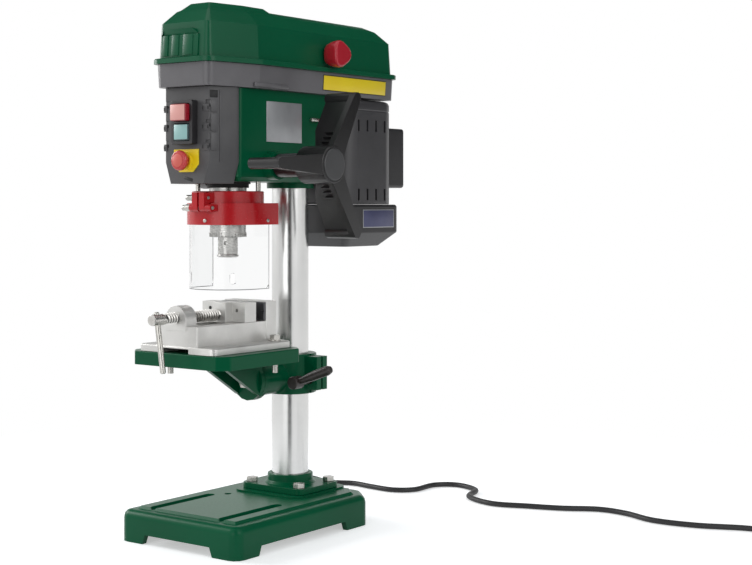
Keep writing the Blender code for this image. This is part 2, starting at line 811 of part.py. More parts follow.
def make_head():
    rings = [[(*point, HEAD_BOTTOM) for point in head_outline(HEAD_EDGE)]]
    rings.append([(*point, HEAD_BOTTOM + HEAD_EDGE) for point in head_outline()])
    rings.append([(*point, HEAD_TOP) for point in head_outline()])
    head = piece("head_casting", loft(rings), GREEN)
    low = HEAD_BOTTOM - HEAD_COLLAR_DROP
    add(head, rod(HEAD_COLLAR_RADIUS, low, HEAD_BOTTOM + HEAD_EDGE, (0, 0, 0), steps=24))
    feed = (0, PINION_Y, FEED_Z)
    boss = HEAD_HALF + FEED_BOSS
    add(head, rod(FEED_BOSS_RADIUS, HEAD_HALF - OVER, boss, feed, "X"))
    column_top = HEAD_BOTTOM + COLUMN_IN_HEAD + GAP
    cut(head, rod(COLUMN_RADIUS + GAP, low - OVER, column_top, (0, 0, 0), steps=24))
    spindle = (0, SPINDLE_Y, 0)
    seat = HEAD_TOP - BEARING_SEAT
    cut(
        head,
        rod(NOSE_RADIUS + GAP, HEAD_BOTTOM - OVER, HEAD_BOTTOM + NOSE_IN_HEAD, spindle, steps=24),
        rod(QUILL_RADIUS + GAP, HEAD_BOTTOM, seat, spindle, steps=24),
        rod(BEARING_SEAT_RADIUS, seat - OVER, HEAD_TOP + OVER, spindle),
        rod(FEED_SHAFT_RADIUS + GAP, -HEAD_HALF - OVER, 0, feed, "X"),
        rod(FEED_BEARING_RADIUS + GAP, -PINION_HALF - EDGE, boss + OVER, feed, "X"),
    )
    deep = ROD_LENGTH - PLATE_GAP + MOTOR_SLIDE + OVER
    for side in (-1, 1):
        rod_place = (side * ROD_X, HEAD_REAR, ROD_Z)
        cut(head, rod(ROD_RADIUS + GAP, -deep, OVER, rod_place, "Y"))
        guide = (side * GUIDE_X, SPINDLE_Y + side * GUIDE_Y, HEAD_BOTTOM)
        cut(head, rod(GUIDE_RADIUS + GAP, -OVER, GUIDE_INTO_HEAD + GAP, guide))
    tension = (0, TENSION_Y, ROD_Z)
    cut(head, rod(TENSION_STEM_RADIUS + GAP, ROD_X, HEAD_HALF + OVER, tension, "X"))
    gland = (GLAND_X, GLAND_Y, HEAD_BOTTOM)
    cut(head, rod(GLAND_SEAT_RADIUS + GAP, -OVER, GLAND_SEAT + GAP, gland))


def make_nose():
    spindle = (0, SPINDLE_Y, 0)
    top = HEAD_BOTTOM + NOSE_IN_HEAD - GAP
    nose = tube(NOSE_RADIUS, QUILL_RADIUS + GAP, NOSE_BOTTOM, top, spindle, steps=24)
    piece("quill_nose", nose, STEEL)
    low = HEAD_BOTTOM - GAP - SEAL_HEIGHT
    profile = [
        (SEAL_RADIUS, low),
        (SEAL_RADIUS, low + SEAL_HEIGHT - SEAL_FLANGE),
        (SEAL_FLANGE_RADIUS, low + SEAL_HEIGHT - SEAL_FLANGE),
        (SEAL_FLANGE_RADIUS, low + SEAL_HEIGHT),
    ]
    seal = piece("quill_seal_ring", turned(profile, spindle), BLACK)
    cut(seal, rod(NOSE_RADIUS + GAP, low - OVER, HEAD_BOTTOM + OVER, spindle, steps=24))


def make_quill():
    """The quill carries the rack: tooth spaces cut across a flat on its rear."""
    spindle = (0, SPINDLE_Y, 0)
    top = HEAD_TOP - BEARING_SEAT - GAP
    shape = tube(QUILL_RADIUS, SPINDLE_RADIUS + GAP, QUILL_BOTTOM, top, spindle, steps=24)
    quill = piece("quill", shape, STEEL, pivot=(0, SPINDLE_Y, QUILL_BOTTOM))
    pitch = math.pi * MODULE
    flat_y = SPINDLE_Y + RACK_FLAT
    flat_half = PINION_HALF + EDGE
    low = FEED_Z - pitch * RACK_BELOW_COUNT - pitch / 2
    cut(quill, block(-flat_half, flat_half, flat_y, flat_y + OVER, low, top + OVER))
    root = flat_y - ADDENDUM - DEDENDUM
    wide = pitch * (1 - TOOTH_TIP_SHARE)
    narrow = pitch * (1 - TOOTH_SHARE) - (wide - pitch * (1 - TOOTH_SHARE)) * DEDENDUM / ADDENDUM
    for number in range(RACK_TEETH):
        middle = FEED_Z + pitch * (number - RACK_BELOW_COUNT)
        space = [
            (root, middle - narrow / 2),
            (flat_y, middle - wide / 2),
            (flat_y + OVER, middle - wide / 2),
            (flat_y + OVER, middle + wide / 2),
            (flat_y, middle + wide / 2),
            (root, middle + narrow / 2),
        ]
        cut(quill, sideways(space, -flat_half, flat_half))


def make_feed_shaft():
    """The shaft turns in the head, and its pinion stands in the rack's middle tooth space."""
    pitch = math.pi * MODULE
    radius = PINION_RADIUS
    outline = []
    tip_half = pitch * TOOTH_TIP_SHARE / 2
    pitch_half = pitch * TOOTH_SHARE / 2
    root_half = pitch_half + (pitch_half - tip_half) * DEDENDUM / ADDENDUM
    sides = ((radius - DEDENDUM, root_half), (radius, pitch_half), (radius + ADDENDUM, tip_half))
    for number in range(PINION_TEETH):
        angle = math.pi + 2 * math.pi * number / PINION_TEETH
        for out, half in sides:
            outline.append((out, angle - half / out))
        for out, half in reversed(sides):
            outline.append((out, angle + half / out))
    gear = [(PINION_Y + r * math.cos(a), FEED_Z + r * math.sin(a)) for r, a in outline]
    centre = (0, PINION_Y, FEED_Z)
    shaft = piece("feed_shaft", sideways(gear, -PINION_HALF, PINION_HALF), STEEL, centre)
    inside = SPRING_DEPTH - SPRING_WALL - EDGE
    add(shaft, rod(FEED_SHAFT_RADIUS, -HEAD_HALF - inside, -PINION_HALF + EDGE, centre, "X"))
    end = HEAD_HALF + FEED_BOSS
    add(shaft, rod(FEED_SHAFT_RADIUS, PINION_HALF - EDGE, FEED_BEARING_START + EDGE, centre, "X"))
    add(shaft, rod(FEED_BEARING_RADIUS, FEED_BEARING_START, end, centre, "X", 24))
    add(shaft, rod(SHAFT_SQUARE, end - OVER, HUB_START + SHAFT_IN_HUB, centre, "X", 24))


def make_spring_housing():
    centre = (0, PINION_Y, FEED_Z)
    near = -HEAD_HALF - GAP
    far = near - SPRING_DEPTH
    profile = [
        (SPRING_RADIUS - 2 * EDGE, far),
        (SPRING_RADIUS, far + 2 * EDGE),
        (SPRING_RADIUS, near),
    ]
    housing = piece("spring_housing", turned(profile, centre, "X"), BLACK)
    inner = SPRING_RADIUS - SPRING_WALL
    cut(housing, rod(inner, far + SPRING_WALL, near + OVER, centre, "X"))


def make_handle():
    """Three moulded arms: a rim at the outer face, a wide blade behind it and a rolled end."""
    centre = (0, PINION_Y, FEED_Z)
    profile = [
        (HUB_NECK_RADIUS, HUB_START),
        (HUB_NECK_RADIUS, HUB_START + HUB_NECK),
        (HUB_RADIUS, HUB_START + HUB_NECK + (HUB_RADIUS - HUB_NECK_RADIUS) / 2),
        (HUB_RADIUS, HUB_END - EDGE),
        (HUB_RADIUS - EDGE, HUB_END),
    ]
    handle = piece("feed_handle", turned(profile, centre, "X"), DARK, centre)
    for arm in range(ARM_COUNT):
        shapes = []
        side = [(0, -ARM_RIM_ROOT), (ARM_REACH, -ARM_RIM_END)]
        side += [
            (
                ARM_REACH + ARM_RIM_END * math.sin(turn),
                -ARM_RIM_END * math.cos(turn),
            )
            for turn in (math.pi * k / 5 for k in range(1, 5))
        ]
        side += [(ARM_REACH, ARM_RIM_END), (0, ARM_RIM_ROOT)]
        shapes.append(sideways(side, HUB_END - ARM_RIM_DEPTH, HUB_END - EDGE))
        blade = loft(
            [
                [
                    (HUB_END - EDGE - depth, out, -BLADE_HALF),
                    (HUB_END - 2 * EDGE, out, -BLADE_HALF),
                    (HUB_END - 2 * EDGE, out, BLADE_HALF),
                    (HUB_END - EDGE - depth, out, BLADE_HALF),
                ]
                for out, depth in (
                    (HUB_RADIUS / 2, BLADE_ROOT_DEPTH),
                    (ARM_REACH / 2, BLADE_DEPTH),
                    (ARM_REACH, BLADE_DEPTH),
                )
            ]
        )
        shapes.append(blade)
        start = HUB_END - BLADE_DEPTH - 2 * EDGE
        shapes.append(rod(LIP_RADIUS, start, HUB_END - 3 * EDGE, (0, ARM_REACH, 0), "X", 12))
        for rib in range(RIB_COUNT):
            out = RIB_FIRST + rib * RIB_PITCH
            shapes.append(
                block(
                    HUB_END - RIB_DEPTH,
                    HUB_END - 2 * EDGE,
                    out,
                    out + RIB_THICK,
                    -RIB_HALF,
                    RIB_HALF,
                )
            )
        turn = Matrix.Rotation(math.pi / 3 + 2 * math.pi * arm / ARM_COUNT, 4, "X")
        for shape in shapes:
            shape.transform(Matrix.Translation(centre) @ turn)
        add(handle, *shapes)
    socket = HUB_START + SHAFT_IN_HUB + GAP
    cut(handle, rod(SHAFT_SQUARE + GAP, HUB_START - OVER, socket, centre, "X", 24))
    cut(handle, rod(CAP_RADIUS + GAP, HUB_END - CAP_RECESS, HUB_END + OVER, centre, "X", 24))
    seat = HUB_END - CAP_RECESS + GAP
    profile = [
        (CAP_RADIUS, seat),
        (CAP_RADIUS, seat + CAP_THICK - EDGE),
        (CAP_RADIUS - EDGE, seat + CAP_THICK),
    ]
    piece("hub_cap", turned(profile, centre, "X"), GREY, centre)


def make_spindle_and_chuck():
    centre = (0, SPINDLE_Y, 0)
    pivot = (0, SPINDLE_Y, CHUCK_BOTTOM)
    profile = [
        (TAPER_RADIUS - EDGE, CHUCK_TOP - TAPER_LENGTH),
        (TAPER_RADIUS, CHUCK_TOP),
        (SPINDLE_RADIUS, CHUCK_TOP + GAP),
        (SPINDLE_RADIUS, SPINDLE_TOP - EDGE),
        (SPINDLE_RADIUS - EDGE, SPINDLE_TOP),
    ]
    piece("spindle", turned(profile, centre, steps=16), STEEL, pivot)
    core = SLEEVE_RADIUS - SLEEVE_WALL - GAP
    step = CHUCK_BOTTOM + CHUCK_NOSE_HEIGHT
    profile = [
        (CHUCK_NOSE_RADIUS - EDGE, CHUCK_BOTTOM),
        (CHUCK_LIP_RADIUS, CHUCK_BOTTOM + EDGE),
        (CHUCK_LIP_RADIUS, CHUCK_BOTTOM + CHUCK_LIP),
        (CHUCK_NOSE_RADIUS, CHUCK_BOTTOM + CHUCK_LIP + EDGE),
        (CHUCK_NOSE_RADIUS, step),
        (core, step),
        (core, CHUCK_TOP),
    ]
    chuck = piece("chuck_body", turned(profile, centre), STEEL, pivot)
    deep = CHUCK_TOP - TAPER_LENGTH - GAP
    socket = [
        (TAPER_RADIUS - EDGE + GAP, deep),
        (TAPER_RADIUS + GAP, CHUCK_TOP),
        (TAPER_RADIUS + GAP, CHUCK_TOP + OVER),
    ]
    cut(chuck, turned(socket, centre, steps=16))
    for number in range(3):
        around = Matrix.Rotation(2 * math.pi * number / 3, 4, "Z")
        lean = Matrix.Rotation(JAW_SLANT, 4, "Y")
        place = Matrix.Translation((0, SPINDLE_Y, CHUCK_BOTTOM)) @ around
        place = place @ Matrix.Translation((JAW_REACH, 0, 0)) @ lean
        bore = rod(JAW_RADIUS + GAP, -OVER, JAW_LENGTH + JAW_ROOM, (0, 0, 0), steps=12)
        bore.transform(place)
        cut(chuck, bore)
        hole = rod(KEY_HOLE_RADIUS, 0, CHUCK_NOSE_RADIUS + OVER, (0, 0, 0), "X", 8)
        hole.transform(
            Matrix.Translation((0, SPINDLE_Y, step - KEY_HOLE_UP))
            @ Matrix.Rotation(2 * math.pi * (number + 0.5) / 3, 4, "Z")
            @ Matrix.Translation((CHUCK_NOSE_RADIUS / 2, 0, 0))
        )
        cut(chuck, hole)
        jaw = rod(JAW_RADIUS, EDGE, JAW_LENGTH, (0, 0, 0), steps=12)
        jaw.transform(place)
        place_of_jaw = place @ Vector((0, 0, JAW_LENGTH / 2))
        piece(f"chuck_jaw_{number + 1}", jaw, STEEL, place_of_jaw)
    low = step + GAP
    top = low + SLEEVE_HEIGHT
    sleeve_profile = [
        (SLEEVE_RADIUS - EDGE, low),
        (SLEEVE_RADIUS, low + EDGE),
        (SLEEVE_RADIUS, top - EDGE),
        (SLEEVE_RADIUS - EDGE, top),
    ]
    sleeve = piece("chuck_sleeve", turned(sleeve_profile, centre, steps=24), STEEL, pivot)
    inner = SLEEVE_RADIUS - SLEEVE_WALL
    cut(sleeve, rod(inner, low - OVER, top + OVER, centre, steps=24))


def merged(shapes):
    """Several closed shapes that stay apart, in one cutter."""
    whole = bmesh.new()
    for shape in shapes:
        mesh = bpy.data.meshes.new("part_of_cutter")
        shape.to_mesh(mesh)
        whole.from_mesh(mesh)
        shape.free()
        bpy.data.meshes.remove(mesh)
    return whole


def grooved(radii, bottom):
    """A stepped pulley's turned profile, one V groove in each step."""
    profile = []
    for number, radius in enumerate(radii):
        low = bottom + number * STEP_HEIGHT
        middle = low + STEP_HEIGHT / 2
        mouth = STEP_HEIGHT * GROOVE_SHARE / 2
        root = STEP_HEIGHT * GROOVE_ROOT_SHARE / 2
        profile += [
            (radius, middle - mouth),
            (radius - GROOVE_DEPTH, middle - root),
            (radius - GROOVE_DEPTH, middle + root),
            (radius, middle + mouth),
        ]
    return profile


def make_pulleys():
    spindle_radii = [SPINDLE_STEP - STEP_CHANGE * k for k in range(STEP_COUNT)]
    motor_radii = [MOTOR_STEP + STEP_CHANGE * k for k in range(STEP_COUNT)]
    centre = (0, SPINDLE_Y, 0)
    sleeve_low = HEAD_TOP - BEARING_SEAT + GAP
    top = PULLEY_BOTTOM + STEP_COUNT * STEP_HEIGHT
    profile = [(SLEEVE_OUT, sleeve_low), (SLEEVE_OUT, PULLEY_BOTTOM)]
    profile += grooved(spindle_radii, PULLEY_BOTTOM)
    profile += [(SLEEVE_OUT, top), (SLEEVE_OUT, PULLEY_TOP)]
    pulley = piece("spindle_pulley", turned(profile, centre, steps=20), CAST_METAL, centre)
    bore = SPINDLE_RADIUS + GAP
    cut(pulley, rod(bore, sleeve_low - OVER, PULLEY_TOP + OVER, centre))
    centre = (0, MOTOR_Y, 0)
    profile = [
        (MOTOR_SHAFT_RADIUS, CAN_TOP - MOTOR_SHAFT_IN),
        (MOTOR_SHAFT_RADIUS, PULLEY_BOTTOM),
    ]
    profile += grooved(motor_radii, PULLEY_BOTTOM)
    profile += [(MOTOR_SHAFT_RADIUS, top), (MOTOR_SHAFT_RADIUS, PULLEY_TOP)]
    piece("motor_pulley", turned(profile, centre, steps=20), CAST_METAL, centre)
    belt_radius_spindle = spindle_radii[BELOW_BELT_COUNT] - BELT_DEPTH
    belt_radius_motor = motor_radii[BELOW_BELT_COUNT] - BELT_DEPTH
    span = MOTOR_Y - SPINDLE_Y
    lean = math.asin((belt_radius_motor - belt_radius_spindle) / span)
    path = []
    for k in range(BELT_POINTS + 1):
        angle = math.pi + lean - (math.pi + 2 * lean) * k / BELT_POINTS
        path.append((Vector((0, MOTOR_Y)), belt_radius_motor, angle))
    for k in range(BELT_POINTS + 1):
        angle = -lean - (math.pi - 2 * lean) * k / BELT_POINTS
        path.append((Vector((0, SPINDLE_Y)), belt_radius_spindle, angle))
    middle = PULLEY_BOTTOM + STEP_HEIGHT * BELOW_BELT_COUNT + STEP_HEIGHT / 2
    slope = (GROOVE_SHARE - GROOVE_ROOT_SHARE) * STEP_HEIGHT / 2 / GROOVE_DEPTH
    inner_half = STEP_HEIGHT * GROOVE_ROOT_SHARE / 2 + slope * (GROOVE_DEPTH - BELT_DEPTH) - GAP
    outer_half = STEP_HEIGHT * GROOVE_SHARE / 2 - GAP
    rings = []
    for hub, radius, angle in path:
        out = Vector((math.cos(angle), math.sin(angle)))
        ring = []
        for extra, half in ((0, -inner_half), (BELT_DEPTH, -outer_half)):
            ring.append((*(hub + out * (radius + extra)), middle + half))
        for extra, half in ((BELT_DEPTH, outer_half), (0, inner_half)):
            ring.append((*(hub + out * (radius + extra)), middle + half))
        rings.append(ring)
    shape = bmesh.new()
    rows = [[shape.verts.new(point) for point in ring] for ring in rings]
    for lower, upper in zip(rows, rows[1:] + rows[:1]):
        for k in range(4):
            shape.faces.new((lower[k], lower[(k + 1) % 4], upper[(k + 1) % 4], upper[k]))
    piece("drive_belt", shape, BLACK)


def rim_corners():
    return [
        (-RIM_FRONT_HALF, -RIM_FRONT),
        (RIM_FRONT_HALF, -RIM_FRONT),
        (RIM_SIDE_HALF, -RIM_SHOULDER),
        (RIM_SIDE_HALF, RIM_REAR),
        (-RIM_SIDE_HALF, RIM_REAR),
        (-RIM_SIDE_HALF, -RIM_SHOULDER),
    ]


def rim_level(inset, z):
    radius = max(RIM_CORNER - inset, 3 * EDGE)
    return [(*point, z) for point in rounded(offset(rim_corners(), inset), radius)]


def make_belt_housing():
    outer = [
        rim_level(HOUSING_INSET + HOUSING_DRAFT, HOUSING_BOTTOM),
        rim_level(HOUSING_INSET, HOUSING_TOP),
    ]
    housing = piece("belt_housing", loft(outer), GREY)
    inner = HOUSING_INSET + HOUSING_DRAFT + HOUSING_WALL
    floor = HOUSING_BOTTOM + HOUSING_FLOOR
    cut(housing, loft([rim_level(inner, floor), rim_level(inner, HOUSING_TOP + OVER)]))
    under = HOUSING_BOTTOM - OVER
    cut(housing, rod(PULLEY_HOLE_RADIUS, under, floor + OVER, (0, SPINDLE_Y, 0)))
    slot = stadium(0, MOTOR_Y - MOTOR_SLIDE, MOTOR_Y, SHAFT_SLOT_RADIUS)
    cut(housing, prism(slot, under, floor + OVER))
    for y in HINGE_Y:
        arm = block(
            PIN_X,
            -RIM_SIDE_HALF + inner,
            y + KNUCKLE_LENGTH + EDGE,
            y + 2 * KNUCKLE_LENGTH - EDGE,
            HOUSING_TOP - KNUCKLE_RADIUS,
            HOUSING_TOP - GAP,
        )
        knuckle = rod(
            KNUCKLE_RADIUS,
            y + KNUCKLE_LENGTH + GAP,
            y + 2 * KNUCKLE_LENGTH,
            (PIN_X, 0, HOUSING_TOP),
            "Y",
            16,
        )
        add(housing, arm, knuckle)
    ream = rod(PIN_RADIUS + GAP, HINGE_Y[0], HINGE_Y[1] + THROUGH, (PIN_X, 0, HOUSING_TOP), "Y", 12)
    cut(housing, ream)


def make_cover():
    """Rim lip, drafted wall, bevel and crown, hollow below, with a raised dome at the front."""
    bottom = HOUSING_TOP + GAP
    lip_top = bottom + COVER_LIP
    pivot = (PIN_X, 0, HOUSING_TOP)
    wall = COVER_INSET + COVER_WALL_DRAFT
    rings = [
        rim_level(0, bottom),
        rim_level(0, lip_top - EDGE),
        rim_level(EDGE, lip_top),
        rim_level(COVER_INSET, lip_top),
        rim_level(wall, COVER_WALL_TOP),
        rim_level(wall + COVER_BEVEL, COVER_BEVEL_TOP),
        rim_level(wall + COVER_BEVEL + COVER_CROWN, COVER_TOP),
    ]
    cover = piece("belt_cover", loft(rings), GREEN, pivot)

    def dome_level(inset, z):
        corners = [
            (-RIM_FRONT_HALF, -RIM_FRONT),
            (RIM_FRONT_HALF, -RIM_FRONT),
            (RIM_SIDE_HALF, -RIM_SHOULDER),
            (RIM_SIDE_HALF, -DOME_REAR),
            (-RIM_SIDE_HALF, -DOME_REAR),
            (-RIM_SIDE_HALF, -RIM_SHOULDER),
        ]
        outline = rounded(offset(corners, inset), 4 * EDGE)
        return [(*point, z) for point in outline]

    under = COVER_BEVEL_TOP - COVER_WALL
    add(
        cover,
        loft(
            [
                dome_level(wall + COVER_BEVEL + COVER_WALL, under),
                dome_level(wall + COVER_BEVEL + COVER_WALL, COVER_BEVEL_TOP + EDGE),
                dome_level(DOME_INSET + DOME_BEVEL / 2, DOME_TOP),
            ]
        ),
    )
    inside = [
        rim_level(COVER_INSET + COVER_WALL, bottom - OVER),
        rim_level(COVER_INSET + COVER_WALL, lip_top),
        rim_level(wall + COVER_WALL, COVER_WALL_TOP - COVER_WALL),
        rim_level(wall + COVER_BEVEL + COVER_WALL, COVER_BEVEL_TOP - COVER_WALL),
    ]
    cut(cover, loft(inside))
    cut(cover, rod(KNOB_STEM_RADIUS + GAP, 0, THROUGH, (0, KNOB_Y, KNOB_Z), "X", 16))
    for y in HINGE_Y:
        arm = block(
            PIN_X,
            -RIM_SIDE_HALF + COVER_INSET / 2,
            y + EDGE,
            y + KNUCKLE_LENGTH - EDGE,
            bottom + EDGE / 2,
            bottom + KNUCKLE_RADIUS,
        )
        knuckle = rod(KNUCKLE_RADIUS, y, y + KNUCKLE_LENGTH, pivot, "Y", 16)
        add(cover, arm, knuckle)
    start = HINGE_Y[0] - OVER
    end = HINGE_Y[1] + 2 * KNUCKLE_LENGTH + OVER
    cut(cover, rod(PIN_RADIUS + GAP, start, end, pivot, "Y", 12))
    pin = rod(PIN_RADIUS, start + 2 * EDGE, end - 2 * EDGE, pivot, "Y", 12)
    piece("cover_hinge_pin", pin, STEEL, pivot)


def lobed(radius, steps=21):
    """A star grip's outline: a circle drawn in between its lobes."""
    points = []
    for k in range(steps):
        angle = 2 * math.pi * k / steps
        out = radius * (1 - KNOB_LOBE_SHARE * (1 - math.cos(KNOB_LOBES * angle)) / 2)
        points.append((out * math.cos(angle), out * math.sin(angle)))
    return points


def grip(start, depth, radius, stem_start, stem_radius, centre):
    """A star grip along X on its threaded stem."""
    rings = []
    for share, size in GRIP_SHARES:
        rings.append([(start + depth * share, y * size, z * size) for y, z in lobed(radius)])
    body = loft(rings)
    body.transform(Matrix.Translation(centre))
    stem = rod(stem_radius, stem_start, start + depth / 2, centre, "X", 16)
    return body, stem


def make_grips():
    centre = (0, KNOB_Y, KNOB_Z)
    wall = RIM_SIDE_HALF - COVER_INSET
    body, stem = grip(wall + EDGE, KNOB_DEPTH, KNOB_RADIUS, wall - OVER, KNOB_STEM_RADIUS, centre)
    knob = piece("cover_knob", body, RED, centre)
    add(knob, stem)
    centre = (0, TENSION_Y, ROD_Z)
    seat = ROD_X + ROD_RADIUS + GAP
    start = HEAD_HALF + GAP
    body, stem = grip(start, TENSION_DEPTH, TENSION_RADIUS, seat, TENSION_STEM_RADIUS, centre)
    knob = piece("tension_knob", body, RED, centre)
    add(knob, stem)


def make_panel():
    """The moulded panel closes the head's front: narrow and flat in front, flared to the head."""

    def section(half, y):
        low_half = half - PANEL_CUT
        return [
            (-half, y, HEAD_TOP),
            (-half, y, PANEL_BOTTOM + PANEL_CUT_HEIGHT),
            (-low_half, y, PANEL_BOTTOM),
            (low_half, y, PANEL_BOTTOM),
            (half, y, PANEL_BOTTOM + PANEL_CUT_HEIGHT),
            (half, y, HEAD_TOP),
        ]

    rear = -HEAD_FRONT - GAP
    shape = loft(
        [
            section(PANEL_FRONT_HALF - EDGE, -PANEL_FRONT),
            section(PANEL_FRONT_HALF, -PANEL_FRONT + EDGE),
            section(PANEL_MID_HALF, -PANEL_MID),
            section(HEAD_HALF, rear - OVER),
            section(HEAD_HALF, rear),
        ]
    )
    panel = piece("front_panel", shape, GREY)
    for z in CLIP_Z:
        for side in (-1, 1):
            edge = side * PANEL_FRONT_HALF
            inner = edge - side * CLIP_WIDTH
            outer = edge + side * 2 * CLIP_DEPTH
            cut(
                panel,
                block(
                    min(inner, outer),
                    max(inner, outer),
                    -PANEL_FRONT - OVER,
                    -PANEL_FRONT + CLIP_DEPTH,
                    z - CLIP_HALF,
                    z + CLIP_HALF,
                ),
            )
    stem = (0, 0, ESTOP_Z)
    cut(
        panel,
        rod(
            ESTOP_STEM_RADIUS + GAP,
            -PANEL_FRONT - OVER,
            -PANEL_FRONT + ESTOP_STEM,
            stem,
            "Y",
        ),
    )


def make_switch():
    """The frame has two wells. The stop button stands out of the upper one."""
    rear = -PANEL_FRONT - GAP
    front = rear - FRAME_DEPTH
    outline = rounded(rectangle(-FRAME_HALF, FRAME_HALF, FRAME_BOTTOM, FRAME_TOP), 2 * EDGE, 2)
    frame = piece("switch_frame", upright(outline, front, rear), DARK)
    middle = (FRAME_BOTTOM + FRAME_TOP) / 2
    inner = FRAME_HALF - FRAME_WALL
    wells = (
        ("stop_button", PALE_RED, middle + BUTTON_BAR / 2, FRAME_TOP - FRAME_WALL, STOP_OUT),
        ("start_button", PALE_GREEN, FRAME_BOTTOM + FRAME_WALL, middle - BUTTON_BAR / 2, START_OUT),
    )
    for name, look, low, high, out in wells:
        cut(frame, block(-inner, inner, front - OVER, front + WELL_DEPTH, low, high))
        cap = rounded(rectangle(-inner + GAP, inner - GAP, low + GAP, high - GAP), BUTTON_CORNER, 2)
        small = rounded(
            rectangle(
                -inner + GAP + BUTTON_RIM,
                inner - GAP - BUTTON_RIM,
                low + GAP + BUTTON_RIM,
                high - GAP - BUTTON_RIM,
            ),
            BUTTON_CORNER,
            2,
        )
        back = front + WELL_DEPTH - BUTTON_TRAVEL - GAP
        levels = ((small, front - out), (cap, front - out + BUTTON_RIM), (cap, back))
        shape = loft([[(x, y, z) for x, z in points] for points, y in levels])
        piece(name, shape, look, (0, front, (low + high) / 2))


def make_emergency_stop():
    rear = -PANEL_FRONT - GAP
    front = rear - PLATE_THICK
    half = PLATE_HALF
    tall = PLATE_HALF_HEIGHT
    outline = [
        (-half, ESTOP_Z - tall + PLATE_CUT),
        (-half + PLATE_CUT, ESTOP_Z - tall),
        (half - PLATE_CUT, ESTOP_Z - tall),
        (half, ESTOP_Z - tall + PLATE_CUT),
        (half, ESTOP_Z + tall),
        (-half, ESTOP_Z + tall),
    ]
    plate = piece("estop_plate", upright(outline, front, rear), YELLOW)
    centre = (0, 0, ESTOP_Z)
    add(plate, rod(COLLAR_RADIUS, front - COLLAR_OUT, front + EDGE, centre, "Y"))
    cut(plate, rod(ESTOP_STEM_RADIUS + GAP, front - 2 * OVER, rear + OVER, centre, "Y"))
    seat = front - COLLAR_OUT - ESTOP_TRAVEL - GAP
    profile = [
        (ESTOP_RADIUS - 3 * EDGE, seat - ESTOP_HEAD),
        (ESTOP_RADIUS - EDGE, seat - ESTOP_HEAD + EDGE),
        (ESTOP_RADIUS, seat - ESTOP_HEAD / 2),
        (ESTOP_RADIUS - EDGE, seat),
        (ESTOP_STEM_RADIUS, seat),
        (ESTOP_STEM_RADIUS, rear + ESTOP_STEM - ESTOP_TRAVEL - EDGE),
    ]
    piece("estop_button", turned(profile, centre, "Y"), RED, (0, front, ESTOP_Z))


